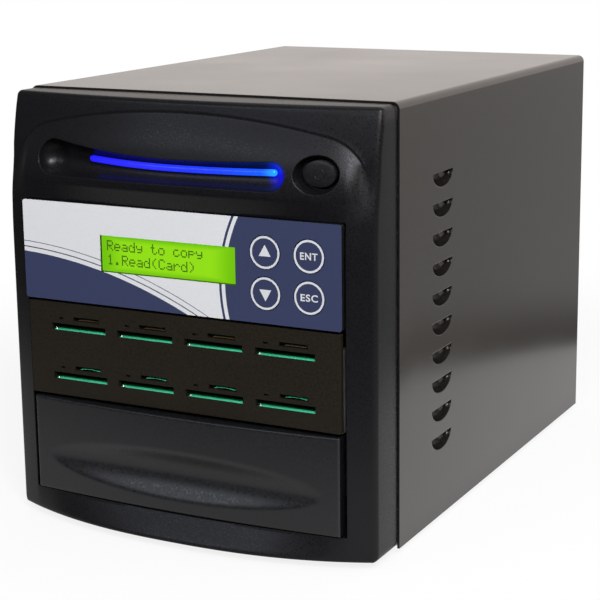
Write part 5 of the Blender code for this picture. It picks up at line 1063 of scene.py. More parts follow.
@dataclass
class Bezel:
    """The moulded front bezel with its arch-shaped scoop, light groove, button dish and bay window."""

    half: float = 86.2
    top: float = 182.0
    bottom: float = 0.3
    seam_gap: float = 0.8
    edge_depth: float = 19.6
    bulge: float = 16.6
    bulge_power: float = 2.4
    skin_bulge: float = 8.2
    lean_depth: float = 7.6
    lean_start: float = 122.0
    corner: float = 2.8
    edge_round: float = 1.8
    window_half: float = 75.1
    window_bottom: float = 10.8
    window_top: float = 138.3
    window_top_bulge: float = 2.2
    window_bottom_bulge: float = 5.0
    apex: float = 178.2
    brow_radius: float = 300.0
    brow_corner: float = 22.0
    brow_half: float = 83.0
    lip: float = 146.0
    lip_bulge: float = 6.9
    brow_power: float = 1.6
    arch_step: float = 0.5
    arch_round: float = 1.6
    run_out: Pair = (75.0, 11.0)
    groove_left: float = -60.3
    groove_right: float = 43.6
    groove_z: float = 154.1
    groove_radius: float = 5.1
    groove_swell: Pair = (2.6, 0.8)
    groove_rise: Pair = (2.4, 0.4)
    bar_ends: Pair = (-43.0, 44.5)
    bar_radius: float = 1.35
    bar_proud: float = 0.8
    bar_rise: float = 1.1
    button: Pair = (62.7, 156.3)
    button_size: Pair = (14.7, 11.6)
    button_slack: Pair = (0.5, 1.1)
    button_front: float = -21.7
    button_length: float = 9.0
    dish_size: Pair = (18.8, 15.1)
    dish_depth: float = 4.5
    dish_floor: float = 0.9
    dish_lead: float = 2.0
    bore_span: Pair = (-40.0, 5.0)
    flange_room: float = 4.0
    flange_travel: float = 1.5
    crown: float = 0.9
    flange: Pair = (2.4, 1.2)
    stem_radius: float = 2.2
    stem_end: float = -11.8
    sign_radius: float = 2.1
    sign_wire: float = 0.22
    sign_gap: float = 64.0
    switch_pocket: tuple[Pair, Pair] = ((8.0, 8.0), (-16.0, 2.0))
    light_pocket: tuple[Pair, Pair, Pair] = ((27.0, 45.0), (-19.5, 2.0), (-9.5, 6.5))
    bay_span: Pair = (-50.0, 5.0)
    gap: float = 0.3

    def lean(self, z: float) -> float:
        """How far the side edge leans back at a height."""
        share = max(z - self.lean_start, 0.0) / (self.top - self.lean_start)
        return self.lean_depth * share ** 2

    def skin(self, x: float, z: float) -> float:
        """Depth of the plain skin above the arch."""
        return self.lean(z) - self.edge_depth - self.skin_bulge * (1.0 - (x / self.half) ** 2)

    def brow(self, x: float) -> float:
        """Height of the arch line that bounds the scoop.

        Args:
            x: Distance from the middle.

        Returns:
            The height.
        """
        reach = abs(x)
        corner_x = self.brow_half - self.brow_corner
        centre = self.apex - self.brow_radius
        inner = self.brow_radius - self.brow_corner
        corner_z = centre + math.sqrt(inner ** 2 - corner_x ** 2)
        if reach <= corner_x * self.brow_radius / inner:
            return centre + math.sqrt(self.brow_radius ** 2 - reach ** 2)
        if reach >= self.brow_half:
            return corner_z
        return corner_z + math.sqrt(max(self.brow_corner ** 2 - (reach - corner_x) ** 2, 0.0))

    def body(self, x: float, z: float) -> float:
        """Depth of the full bulge that the side strips and the bottom edge follow."""
        return self.lean(z) - self.edge_depth - self.bulge * (1.0 - abs(x / self.half) ** self.bulge_power)

    def across(self, x: float, z: float, bulge: float) -> float:
        """Depth of a line that crosses between the side strips with its own bulge."""
        if abs(x) >= self.window_half:
            return self.body(x, z)
        return self.body(self.window_half, z) - bulge * (1.0 - (x / self.window_half) ** 2)

    def front(self, x: float, z: float) -> float:
        """Depth of the front surface, with the arch's ends run out softly into the side strips.

        Args:
            x: Distance from the middle.
            z: Height.

        Returns:
            The depth.
        """
        low, high = self.lip - self.run_out[1], self.brow(self.brow_half) + self.run_out[1]
        raw = self.faceted(x, z)
        if not low < z < high:
            return raw
        soft = smooth((z - low) / (high - low))
        even = self.faceted(x, low) * (1.0 - soft) + self.faceted(x, high) * soft
        return raw + (even - raw) * smooth((abs(x) - self.run_out[0]) / (self.brow_half - self.run_out[0]))

    def undercut(self, x: float, z: float) -> float:
        """How far the scoop lies back just below the arch, so that the arch is a rounded edge.

        Args:
            x: Distance from the middle.
            z: Height.

        Returns:
            The setback.
        """
        arch = self.brow(x)
        below = arch - z
        deep = self.arch_step * min((arch - self.lip) / 16.0, 1.0)
        return deep * smooth(below / self.arch_round) * (1.0 - smooth((below - self.arch_round) / 14.0))

    def faceted(self, x: float, z: float) -> float:
        """Depth of the front surface, zone by zone.

        Args:
            x: Distance from the middle.
            z: Height.

        Returns:
            The depth.
        """
        arch = self.brow(x)
        if z >= arch:
            return self.skin(x, z)
        if z >= self.lip:
            share = 1.0 - ((z - self.lip) / (arch - self.lip)) ** self.brow_power
            edge = self.skin(x, arch)
            return edge + (self.across(x, self.lip, self.lip_bulge) - edge) * share + self.undercut(x, z)
        if z >= self.window_top:
            share = (self.lip - z) / (self.lip - self.window_top)
            return self.across(x, z, self.lip_bulge + (self.window_top_bulge - self.lip_bulge) * share)
        if z >= self.window_bottom:
            share = (self.window_top - z) / (self.window_top - self.window_bottom)
            rise = self.window_bottom_bulge - self.window_top_bulge
            return self.across(x, z, self.window_top_bulge + rise * share)
        share = (self.window_bottom - z) / (self.window_bottom - self.bottom)
        start = self.across(x, z, self.window_bottom_bulge)
        return start + (self.body(x, z) - start) * share

    def outline(self, z: float) -> float:
        """Half width of the outline at a height, with its round corners.

        Args:
            z: Height.

        Returns:
            Half the width there.
        """
        rest = self.corner - min(self.top - z, z - self.bottom)
        if rest <= 0.0:
            return self.half
        return self.half - self.corner + math.sqrt(max(self.corner ** 2 - rest ** 2, 0.0))

    def place(self, column: float, row: tuple[str, float]) -> Point:
        """Where a point of the front's grid lies.

        Args:
            column: Distance from the middle.
            row: A height, or a share of the scoop or of the crest above the arch.

        Returns:
            The point in case millimetres.
        """
        kind, value = row
        x = column
        if kind == "scoop":
            z = self.lip + (self.brow(x) - self.lip) * value
        elif kind == "crest":
            z = self.brow(x) + (self.top - self.edge_round - self.brow(x)) * value
        else:
            z = value
            x = column * self.outline(z) / self.half
        inset = min(self.outline(z) - abs(x), self.top - z, z - self.bottom)
        return (x, self.front(x, z) + setback(inset, self.edge_round), z)

    def columns(self) -> list[float]:
        """Column places of the front's grid, dense at the rounded edges and the ridge.

        Returns:
            The places, from left to right.
        """
        right = [self.half - value for value in edge_steps(self.edge_round, 6)]
        right += steps(self.half - self.edge_round, self.window_half, 14)
        right += steps(self.window_half, 0.0, 56)
        return mirrored(right)

    def rows(self) -> list[tuple[str, float]]:
        """Rows of the front's grid from bottom to top.

        Returns:
            What each row follows, and its value.
        """
        edge = edge_steps(self.edge_round, 6)
        heights = [self.bottom + value for value in edge]
        heights += steps(self.bottom + self.edge_round, self.window_bottom, 8)
        heights += steps(self.window_bottom, self.window_top, 34) + steps(self.window_top, self.lip, 9)
        rows = [("height", value) for value in heights]
        rows += [("scoop", share) for share in steps(0.0, 0.86, 30) + steps(0.86, 1.0, 14)]
        rows += [("crest", share) for share in steps(0.0, 1.0, 6)]
        rows += [("height", self.top - value) for value in [self.edge_round] + edge[::-1]]
        return rows

    def groove_shape(self, x: float) -> Pair:
        """Height and radius of the light groove at a place along it.

        Args:
            x: Distance from the middle.

        Returns:
            Height and radius.
        """
        left, right = (min(max(x / end, 0.0), 1.0) ** 2 for end in (self.groove_left, self.groove_right))
        z = self.groove_z + self.groove_rise[0] * left + self.groove_rise[1] * right
        return z, self.groove_radius + self.groove_swell[0] * left + self.groove_swell[1] * right

    def groove(self) -> Mesh:
        """The body that hollows the light groove out, with round ends.

        Returns:
            The body.
        """
        path, radii = [], []
        for step in range(-10, 71):
            x = self.groove_left + (self.groove_right - self.groove_left) * min(max(step / 60, 0.0), 1.0)
            z, radius = self.groove_shape(x)
            angle = max(-step, step - 60, 0) / 10 * math.radians(86.0)
            x += math.copysign(radius * math.sin(angle), step - 30)
            path.append((x, self.front(x, z), z))
            radii.append(radius * math.cos(angle))
        return tube(path, radii, 14)

    def bar(self, extra: float = 0.0) -> Mesh:
        """The light bar, set into the groove's back wall, with an extra gap round it.

        Args:
            extra: Room left round the bar.

        Returns:
            The bar.
        """
        path, radii = [], []
        start, end = self.bar_ends[0] - extra, self.bar_ends[1] + extra
        size = self.bar_radius + extra
        turns = [math.radians(angle) for angle in (8, 25, 45, 65)]
        rounded_end = [(size * (1.0 - math.cos(turn)), size * math.sin(turn)) for turn in turns]
        places = [(start + inset, radius) for inset, radius in rounded_end]
        places += [(x, size) for x in steps(start + size, end - size, 48)] + [(end - size, size)]
        places += [(end - inset, radius) for inset, radius in rounded_end[::-1]]
        for x, reach in places:
            z, radius = self.groove_shape(x)
            y = self.front(x, z) + math.sqrt(radius ** 2 - self.bar_rise ** 2) - self.bar_proud
            path.append((x, y, z + self.bar_rise))
            radii.append(reach)
        return tube(path, radii, 8)

    def oval(self, size: Pair, start_y: float, end_y: float, end_share: float = 1.0) -> Mesh:
        """An oval body on the button's axis, from front to back.

        Args:
            size: Width and height.
            start_y: Depth of its front.
            end_y: Depth of its back.
            end_share: Size of the back as a share of the front.

        Returns:
            The body.
        """
        bm = post((0.0, 0.0), (start_y, end_y), 1.0, end_share, 64)
        stretch = Matrix.Diagonal((size[0] / 2, 1.0, size[1] / 2, 1.0))
        return moved(bm, Matrix.Translation((self.button[0], 0.0, self.button[1])) @ stretch)

    def button_oval(self, extra: Pair, start_y: float, end_y: float) -> Mesh:
        """An oval body a little wider and higher than the button."""
        size = (self.button_size[0] + extra[0], self.button_size[1] + extra[1])
        return self.oval(size, start_y, end_y)

    def build(self) -> None:
        """Makes the bezel, the light bar and the power button."""
        shell = backed(sheet_of(self.columns(), self.rows(), self.place), -self.seam_gap)
        surface = self.front(*self.button)
        grow = 1.0 + (1.0 - self.dish_floor) * self.dish_lead / self.dish_depth
        dish = (self.dish_size[0] * grow, self.dish_size[1] * grow)
        button_end = self.button_front + self.button_length
        flange_room = (self.flange_room, self.flange_room)
        (left, right), (near, far), (below, above) = self.light_pocket
        z, (front, back) = self.button[1], self.bay_span
        cutters = [
            self.groove(),
            self.bar(self.gap),
            self.oval(dish, surface - self.dish_lead, surface + self.dish_depth, self.dish_floor / grow),
            self.button_oval((2 * self.gap, 2 * self.gap), *self.bore_span),
            self.button_oval(flange_room, button_end - self.flange_travel, self.bore_span[1]),
            block(self.button, *self.switch_pocket),
            box((left, near, z + below), (right, far, z + above)),
            box((-self.window_half, front, self.window_bottom), (self.window_half, back, self.window_top)),
        ]
        shell = combined(shell, cutters, Operation.CUT)
        finish_piece("bezel_shell", shell, BEZEL_PLASTIC, stands_for=["front_bezel"])
        finish_piece("light_guide", self.bar(), GUIDE, stands_for=["light_bar"])
        self.build_button()

    def build_button(self) -> None:
        """The oval power button: crowned face, flange, stem and a raised power sign."""
        x, z = self.button
        front = self.button_front
        end = front + self.button_length
        width, height = (size - slack for size, slack in zip(self.button_size, self.button_slack))
        body = self.oval((width, height), front + 0.6, end)
        crown = bmesh.new()
        bmesh.ops.create_uvsphere(crown, u_segments=64, v_segments=24, radius=1.0)
        size = Matrix.Diagonal((width / 2, self.crown, height / 2, 1.0))
        moved(crown, Matrix.Translation((x, front + self.crown, z)) @ size)
        flange = self.button_oval((self.flange[0], self.flange[0]), end - self.flange[1], end)
        stem = post(self.button, (end - 0.1, self.stem_end), self.stem_radius, sides=24)
        sign = self.power_sign(x, front + 0.02, z)
        solid = combined(body, [crown, flange, stem], Operation.JOIN)
        finish_piece("power_button_cap", solid, BUTTON_PLASTIC, Body.BUTTON, ["power_button"])
        finish_piece("power_sign", sign, BUTTON_PLASTIC, Body.BUTTON)

    def power_sign(self, x: float, y: float, z: float) -> Mesh:
        """A raised open ring with a bar through its gap.

        Args:
            x: Distance from the middle.
            y: Depth.
            z: Height.

        Returns:
            The sign.
        """
        arc = bmesh.new()
        wire, radius = self.sign_wire, self.sign_radius
        bmesh.ops.create_circle(arc, cap_ends=True, segments=10, radius=wire)
        start = Matrix.Translation((0.0, 0.0, radius)) @ Matrix.Rotation(math.radians(90.0), 4, "Y")
        moved(arc, Matrix.Rotation(math.radians(self.sign_gap / 2), 4, "Y") @ start)
        bmesh.ops.spin(
            arc, geom=arc.faces[:], cent=(0, 0, 0), axis=(0, 1, 0), angle=math.radians(360.0 - self.sign_gap),
            steps=36, use_duplicate=False,
        )
        stroke = rod((0.0, 0.0, radius - 1.1), (0.0, 0.0, radius + 0.6), wire, sides=10)
        return moved(merged([arc, stroke]), Matrix.Translation((x, y, z)))


@dataclass
class Cover:
    """The bent sheet cover with pressed louvres in both sides."""

    half: float = 87.0
    depth: float = 227.0
    height: float = 182.8
    sheet: float = 1.0
    bend: float = 3.0
    lip: float = 10.0
    louvre_count: int = 10
    louvre_pitch: float = 12.6
    louvre_top: float = 149.6
    louvre_y: float = 43.8
    louvre_half: float = 10.6
    louvre_height: float = 6.3
    louvre_depth: float = 4.5
    louvre_wall: float = 0.9
    screw_heights: Pair = (29.98, 149.9)
    screw_inset: float = 5.5
    screw_bore: float = 1.9
    overshoot: float = 5.0

    def arch(self, half: float, top: float, bottom: float, span: Pair, radius: float) -> Mesh:
        """A box with its two upper long edges rounded.

        Args:
            half: Half its width.
            top: Height of its top.
            bottom: Height of its lower face.
            span: Depth of its front and back.
            radius: Radius of the two edges.

        Returns:
            The solid.
        """
        bm = box((-half, span[0], bottom), (half, span[1], top))
        edges = [
            edge for edge in bm.edges
            if all(abs(vert.co.z - top) < 0.01 for vert in edge.verts)
            and abs(edge.verts[0].co.x - edge.verts[1].co.x) < 0.01
        ]
        return bevelled(bm, edges, radius, 8)

    def louvre(self, side: float, z: float, wall: float) -> Mesh:
        """One pressed scoop: the lower quarter of an ellipsoid, straight along its top.

        Args:
            side: -1 for the left side and 1 for the right.
            z: Height of its straight upper edge.
            wall: Thickness of the skin, or 0 for the space inside.

        Returns:
            The solid.
        """
        bm = bmesh.new()
        bmesh.ops.create_uvsphere(bm, u_segments=32, v_segments=20, radius=1.0)
        depth = self.louvre_depth + self.sheet + wall
        size = Matrix.Diagonal((depth, self.louvre_half + wall, self.louvre_height + wall, 1.0))
        turn = Matrix(((0, 0, 1, 0), (1, 0, 0, 0), (0, 1, 0, 0), (0, 0, 0, 1)))
        moved(bm, size @ turn)
        above, out = (0.0, -0.5) if wall else (0.05, 0.5)
        cuts = [((0.0, 0.0, above), (0.0, 0.0, 1.0)), ((out, 0.0, 0.0), (1.0, 0.0, 0.0))]
        for point, normal in cuts:
            found = bmesh.ops.bisect_plane(
                bm, geom=bm.verts[:] + bm.edges[:] + bm.faces[:], plane_co=point, plane_no=normal,
                clear_outer=True,
            )
            bmesh.ops.contextual_create(bm, geom=only(found["geom_cut"], bmesh.types.BMEdge))
        place = Matrix.Translation((side * self.half, self.louvre_y, z))
        return moved(bm, place @ Matrix.Diagonal((side, 1.0, 1.0, 1.0)))

    def louvres(self, wall: float) -> Mesh:
        """All scoops of both sides."""
        heights = [self.louvre_top - self.louvre_pitch * index for index in range(self.louvre_count)]
        return merged(self.louvre(side, z, wall) for side in (-1.0, 1.0) for z in heights)

    def build(self) -> None:
        """Makes the cover, with painted shade inside its louvres and on its front rim: a darker copy of its
        coat.
        """
        past, depth = self.overshoot, self.depth
        outer = self.arch(self.half, self.height, 0.0, (0.0, depth), self.bend)
        inside = (self.half - self.sheet, self.height - self.sheet, -past)
        hollow = self.arch(*inside, (-past, depth - self.sheet), self.bend - self.sheet)
        lip_half = self.half - self.lip
        opening = box((-lip_half, depth - past, -past), (lip_half, depth + past, self.height - self.lip))
        screw_x, through = self.half - self.screw_inset, (depth - 4.0, depth + 4.0)
        bores = [
            post((side * screw_x, z), through, self.screw_bore, sides=24)
            for side in (-1.0, 1.0) for z in self.screw_heights
        ]
        shell = combined(outer, [hollow, opening], Operation.CUT)
        shell = combined(shell, [self.louvres(self.louvre_wall)], Operation.JOIN)
        shell = combined(shell, [self.louvres(0.0), *bores], Operation.CUT)
        cover = finish_piece("sheet_cover", shell, COVER_COAT, stands_for=["top_cover"])
        cover.data.materials.append(material_of(PAINTED_SHADE_COAT))
        reach = (self.louvre_half + self.louvre_wall) / 1000.0
        # Painted shade: faces inside the louvre bowls, and the front rim's end face, take the darker coat.
        for face in cover.data.polygons:
            x, y = face.center.x, face.center.y - SEAM.y
            in_bowl = abs(x) < (self.half - 0.05) / 1000.0 and abs(y - self.louvre_y / 1000.0) < reach
            if (in_bowl and face.normal.x * x > 0.0) or (y < 0.0001 and face.normal.y < -0.9):
                face.material_index = 1


@dataclass
class DisplayBay:
    """The display panel: plate under a printed film, four keys, lit display and its dot characters."""

    half: float = 74.6
    low: float = 96.0
    high: float = 138.1
    front: float = -26.65
    thickness: float = 3.0
    film: float = 0.25
    corner: float = 1.2
    window: Quad = (-36.2, 110.2, 27.8, 125.6)
    board_bosses: tuple[Pair, Pair] = ((-42.4, 34.0), (101.75, 134.15))
    board_face: float = -21.45
    key_bosses: tuple[float, Pair] = (68.9, (101.25, 131.65))
    boss_radius: float = 1.8
    board: tuple[Pair, Pair] = ((40.0, 18.0), (-21.15, -19.55))
    shroud: tuple[Pair, Pair] = ((35.75, 13.25), (-23.35, -21.05))
    glass_set: float = 0.75
    glass_back: float = -23.25
    key_radius: float = 6.7
    key_flange: Pair = (1.0, 1.0)
    key_stem: Pair = (2.0, 2.8)
    key_ring: Pair = (0.15, 1.0)
    gap: float = 0.3
    keys: tuple[tuple[Body, float, float, str], ...] = (
        (Body.UP, 41.2, 124.7, "up"),
        (Body.DOWN, 41.2, 108.2, "down"),
        (Body.ENTER, 60.6, 124.7, "ENT"),
        (Body.ESCAPE, 60.6, 108.2, "ESC"),
    )
    lines: tuple[str, str] = ("Ready to copy", "1.Read(Card)")
    text_inset: Pair = (2.9, 2.0)
    cell: Pair = (3.55, 5.9)
    dot: float = 0.56
    dot_gap: float = 0.06
    mark_size: Pair = (7.6, 2.9)
    arrow_radius: float = 3.1
    ink: float = 0.03

    def panel(self, start: float, end: float) -> Mesh:
        """The panel's outline with its window and key holes, from a front to a back plane.

        Args:
            start: Depth of the front.
            end: Depth of the back.

        Returns:
            The solid.
        """
        plate = box((-self.half, start, self.low), (self.half, end, self.high))
        rounded(plate, self.corner, along=1, segments=6)
        x0, z0, x1, z1 = self.window
        past = (start - 5.0, end + 5.0)
        cutters = [box((x0, past[0], z0), (x1, past[1], z1))]
        cutters += [post((x, z), past, self.key_radius + self.gap) for _, x, z, _ in self.keys]
        return combined(plate, cutters, Operation.CUT)

    def build(self) -> None:
        """Makes the plate, its film, the keys and the display."""
        back = self.front + self.thickness
        places, radius = self.boss_places(), self.boss_radius
        bosses = [post(place, (back - 0.1, end), radius, sides=16) for place, end in places]
        plate = combined(self.panel(self.front + self.film, back), bosses, Operation.JOIN)
        finish_piece("display_plate", plate, BLANK_PLASTIC, stands_for=["lcd_faceplate"])
        finish_piece("display_film", self.panel(self.front, self.front + self.film), FILM)
        for body, x, z, mark in self.keys:
            self.build_key(body, x, z, mark)
        self.build_display()

    def boss_places(self) -> list[tuple[Pair, float]]:
        """Places of the bosses behind the plate and how far back they end.

        Returns:
            Place in X and Z, and end, of each boss.
        """
        cad_back = (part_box("lcd_faceplate")[1].y - SEAM.y) * 1000.0
        columns, rows = self.board_bosses
        across, heights = self.key_bosses
        places = [((x, z), self.board_face) for x in columns for z in rows]
        return places + [((across, z), cad_back) for z in heights]

    def build_key(self, body: Body, x: float, z: float, mark: str) -> None:
        """One key: round top with flange and stem, a white ring near its rim and its mark.

        Args:
            body: The key's body.
            x: Distance from the middle.
            z: Height.
            mark: An arrow's direction, or its letters.
        """
        back = self.front + self.thickness + self.gap
        wider, thick = self.key_flange
        top = post((x, z), (self.front, back + 0.5), self.key_radius, sides=64)
        flange = post((x, z), (back, back + thick), self.key_radius + wider)
        stem = post((x, z), (back + 0.9, back + self.key_stem[1]), self.key_stem[0], sides=24)
        name = body.value
        finish_piece(name + "_top", combined(top, [flange, stem], Operation.JOIN), NAVY_INK, body, [name])
        band = bmesh.new()
        for inset in self.key_ring:
            bmesh.ops.create_circle(band, segments=64, radius=self.key_radius - inset)
        bmesh.ops.bridge_loops(band, edges=band.edges[:])
        marks = [extruded(band, (0.0, 0.0, -self.ink))]
        if mark in ("up", "down"):
            arrow = bmesh.new()
            turn = Matrix.Rotation(math.radians(0.0 if mark == "up" else 180.0), 4, "Z")
            bmesh.ops.create_circle(arrow, cap_ends=True, segments=3, radius=self.arrow_radius, matrix=turn)
            marks.append(extruded(arrow, (0.0, 0.0, -self.ink)))
        else:
            marks.append(lettering(mark, self.mark_size, self.ink))
        upright = Matrix.Rotation(math.radians(90.0), 4, "X")
        place = Matrix.Translation((x, self.front - self.ink, z)) @ upright
        finish_piece(name + "_print", moved(merged(marks), place), WHITE_INK, body)

    def build_display(self) -> None:
        """The display module behind the window, its lit glass and the dots of its two lines."""
        x0, z0, x1, z1 = self.window
        middle = ((x0 + x1) / 2, (z0 + z1) / 2)
        gap, face = self.gap, self.front + self.glass_set
        glass = box((x0 + gap, face, z0 + gap), (x1 - gap, self.glass_back, z1 - gap))
        finish_piece("display_glass", rounded(glass, 0.15), DISPLAY, stands_for=["lcd_module"])
        finish_piece("display_shroud", rounded(block(middle, *self.shroud), 0.4), NYLON)
        finish_piece("display_board", rounded(block(middle, *self.board), 0.6, along=1), BOARD)
        left, top = x0 + self.text_inset[0], z1 - self.text_inset[1]
        pitch = self.dot + self.dot_gap
        lit = (
            (left + column * self.cell[0] + bit * pitch, top - row * self.cell[1] - line * pitch)
            for row, text in enumerate(self.lines)
            for column, letter in enumerate(text)
            for line, bits in enumerate(LETTERS.get(letter, ()))
            for bit in range(5) if bits >> (4 - bit) & 1
        )
        dots = merged(box((x, face - 0.02, z - self.dot), (x + self.dot, face + 0.02, z)) for x, z in lit)
        finish_piece("display_dots", dots, DISPLAY_INK)


# Letters as five-dot rows from the top, one number a row
LETTERS: dict[str, tuple[int, ...]] = {
    "R": (30, 17, 17, 30, 20, 18, 17),
    "e": (0, 0, 14, 17, 31, 16, 14),
    "a": (0, 0, 14, 1, 15, 17, 15),
    "d": (1, 1, 13, 19, 17, 17, 15),
    "y": (0, 0, 17, 17, 15, 1, 14),
    "t": (8, 8, 28, 8, 8, 9, 6),
    "o": (0, 0, 14, 17, 17, 17, 14),
    "c": (0, 0, 14, 16, 16, 17, 14),
    "p": (0, 0, 30, 17, 30, 16, 16),
    "1": (4, 12, 4, 4, 4, 4, 14),
    ".": (0, 0, 0, 0, 0, 12, 12),
    "C": (14, 17, 16, 16, 16, 17, 14),
    "(": (2, 4, 8, 8, 8, 4, 2),
    "r": (0, 0, 22, 25, 16, 16, 16),
    ")": (8, 4, 2, 2, 2, 4, 8),
}


def lettering(text: str, size: Pair, thickness: float) -> Mesh:
    """Bold upright letters about the origin, as a solid in the XY plane.

    Args:
        text: A generic mark, such as ENT.
        size: Width and height of the whole mark.
        thickness: Thickness of its ink, below the plane.

    Returns:
        The letters.
    """
    curve = bpy.data.curves.new("letters", "FONT")
    curve.body = text
    curve.size = size[1] / 0.7
    curve.offset = 0.09
    curve.space_character = 1.12
    curve.extrude = thickness / 2
    bm = evaluated(linked("letters", curve))
    bmesh.ops.remove_doubles(bm, verts=bm.verts[:], dist=0.0005)
    low, high = ([limit(vert.co[axis] for vert in bm.verts) for axis in (0, 1)] for limit in (min, max))
    middle = Vector(((low[0] + high[0]) / 2, (low[1] + high[1]) / 2, thickness / 2))
    stretch = Matrix.Diagonal((size[0] / (high[0] - low[0]), size[1] / (high[1] - low[1]), 1.0, 1.0))
    return moved(bm, stretch @ Matrix.Translation(-middle))


@dataclass
class BlankCover:
    """The blank bay's cover: a bulged face with a lens-shaped dish and side hooks."""

    width: float = 145.6
    height: float = 41.3
    middle_z: float = 32.05
    edge_y: float = -26.2
    bulge: float = 3.8
    depth: float = 12.0
    wall: float = 2.0
    edge_round: float = 0.8
    dish_half: float = 65.0
    dish_height: float = 10.8
    dish_drop: float = 4.6
    dish_depth: float = 4.4
    dish_power: float = 1.5
    hook: Triple = (4.2, 4.0, 10.0)
    hook_reach: float = 74.8

    def face(self, column: float, row: float) -> Point:
        """Where a point of the face's grid lies.

        Args:
            column: Distance from the middle, across.
            row: Distance from the middle, up.

        Returns:
            The point.
        """
        share = 1.0 - min((column / self.dish_half) ** 2, 1.0)
        y = self.edge_y - self.bulge * (1.0 - (2 * column / self.width) ** 2)
        if share > 0.0:
            reach = (row + self.dish_drop) / (self.dish_height * math.sqrt(share))
            y += self.dish_depth * share * max(1.0 - reach ** 2, 0.0) ** self.dish_power
        inset = min(self.width / 2 - abs(column), self.height / 2 - abs(row))
        return (column, y + setback(inset, self.edge_round), self.middle_z + row)

    def grid_line(self, length: float, count: int) -> list[float]:
        """Places of the grid's lines along a side, dense at its rounded edges."""
        edge = [length / 2 - value for value in edge_steps(self.edge_round, 5)]
        return mirrored(edge + steps(length / 2 - self.edge_round, 0.0, count))

    def build(self) -> None:
        """Makes the cover."""
        back = self.edge_y + self.depth
        front = sheet_of(self.grid_line(self.width, 60), self.grid_line(self.height, 26), self.face)
        inner = (self.width / 2 - self.wall, self.height / 2 - self.wall)
        hollow = block((0.0, self.middle_z), inner, (self.edge_y + self.wall, back + 5.0))
        solid = combined(backed(front, back), [hollow], Operation.CUT)
        wide, deep, high = self.hook
        x, half, span = self.hook_reach - wide / 2, (wide / 2, high / 2), (back - 1.0 - deep, back - 1.0)
        hooks = [block((side * x, self.middle_z), half, span) for side in (-1.0, 1.0)]
        solid = combined(solid, hooks, Operation.JOIN)
        finish_piece("blank_cover", solid, BLANK_PLASTIC, stands_for=["blank_bay_cover"])


@dataclass
class CardBay:
    """What shows in the eight card slots: green board tongues, contacts and card springs."""

    columns: tuple[float, ...] = (-49.05, -16.35, 16.35, 49.05)
    rows: Pair = (84.25, 62.85)
    plate_front: float = -26.1
    board_front: float = -23.35
    tongue_left: float = -12.2
    tongue_right: float = 13.3
    tongue_z: Pair = (-1.42, -1.2)
    tongue_set: float = 0.25
    pad_place: Pair = (0.6, 0.9)
    pad_radii: Pair = (0.5, 0.25)
    leaf_middle: Pair = (4.5, 3.55)
    leaf_half: float = 4.816
    leaf_set: float = 0.9
    leaf_depth: float = 1.4
    leaf_rise: float = 0.1
    leaf_thickness: float = 0.16
    lamp: Pair = (-8.6, 3.7)
    lens_half: Pair = (0.95, 0.4)
    lens_span: Pair = (0.8, 2.4)

    def build(self) -> None:
        """Makes the tongues, their solder pads, the card springs and the lamps behind the plate."""
        slots = [(x, z) for z in self.rows for x in self.columns]
        finish_piece("card_board_tongues", merged(self.tongue(x, z) for x, z in slots), LIT_BOARD_GREEN)
        finish_piece("card_guide_pads", merged(self.pad(x, z) for x, z in slots), NICKEL)
        upper, lower = self.rows
        # The lower springs take the lighter board green, a painted highlight.
        for name, z, finish, sag in (("upper", upper, TAPE, 0.15), ("lower", lower, LIT_BOARD_GREEN, 0.45)):
            springs = merged(self.spring(x, z, sag) for x in self.columns)
            finish_piece(f"micro_card_springs_{name}", springs, finish)
        finish_piece("card_lamps", merged(self.lamp_lens(x, z) for x, z in slots), LENS)

    def tongue(self, x: float, z: float) -> Mesh:
        """The board's tongue under one card, its front edge a little rounded.

        Args:
            x: Middle of the slot.
            z: Height of the slot.

        Returns:
            The tongue.
        """
        low, high = (z + height for height in self.tongue_z)
        near = (x + self.tongue_left, self.plate_front + self.tongue_set, low)
        return rounded(box(near, (x + self.tongue_right, self.board_front, high)), 0.06)

    def pad(self, x: float, z: float) -> Mesh:
        """The bright solder pad of the card guide at a tongue's left end.

        Args:
            x: Middle of the slot.
            z: Height of the slot.

        Returns:
            The pad.
        """
        place = (x + self.tongue_left + self.pad_place[0], self.plate_front + self.pad_place[1])
        board = z + self.tongue_z[1]
        return rod((*place, board - 0.1), (*place, board + 0.5), *self.pad_radii, 16)

    def spring(self, x: float, z: float, sag: float) -> Mesh:
        """The bowed spring leaf seen in a microSD slot.

        Args:
            x: Middle of the slot.
            z: Height of the slot.
            sag: How far the leaf bows up.

        Returns:
            The leaf.
        """
        across, up = self.leaf_middle

        def place(share: float, row: float) -> Point:
            """A point of the leaf, from its share of the half length and of the depth."""
            y = self.plate_front + self.leaf_set + self.leaf_depth * row
            height = z + up + sag * (1.0 - share ** 2) + self.leaf_rise * row
            return (x + across + self.leaf_half * share, y, height)

        leaf = sheet_of([step / 8 - 1.0 for step in range(17)], [0.0, 0.5, 1.0], place)
        bmesh.ops.solidify(leaf, geom=leaf.faces[:], thickness=self.leaf_thickness)
        return leaf

    def lamp_lens(self, x: float, z: float) -> Mesh:
        """The dark lens in one lamp window."""
        span = tuple(self.plate_front + depth for depth in self.lens_span)
        return rounded(block((x + self.lamp[0], z + self.lamp[1]), self.lens_half, span), 0.1)


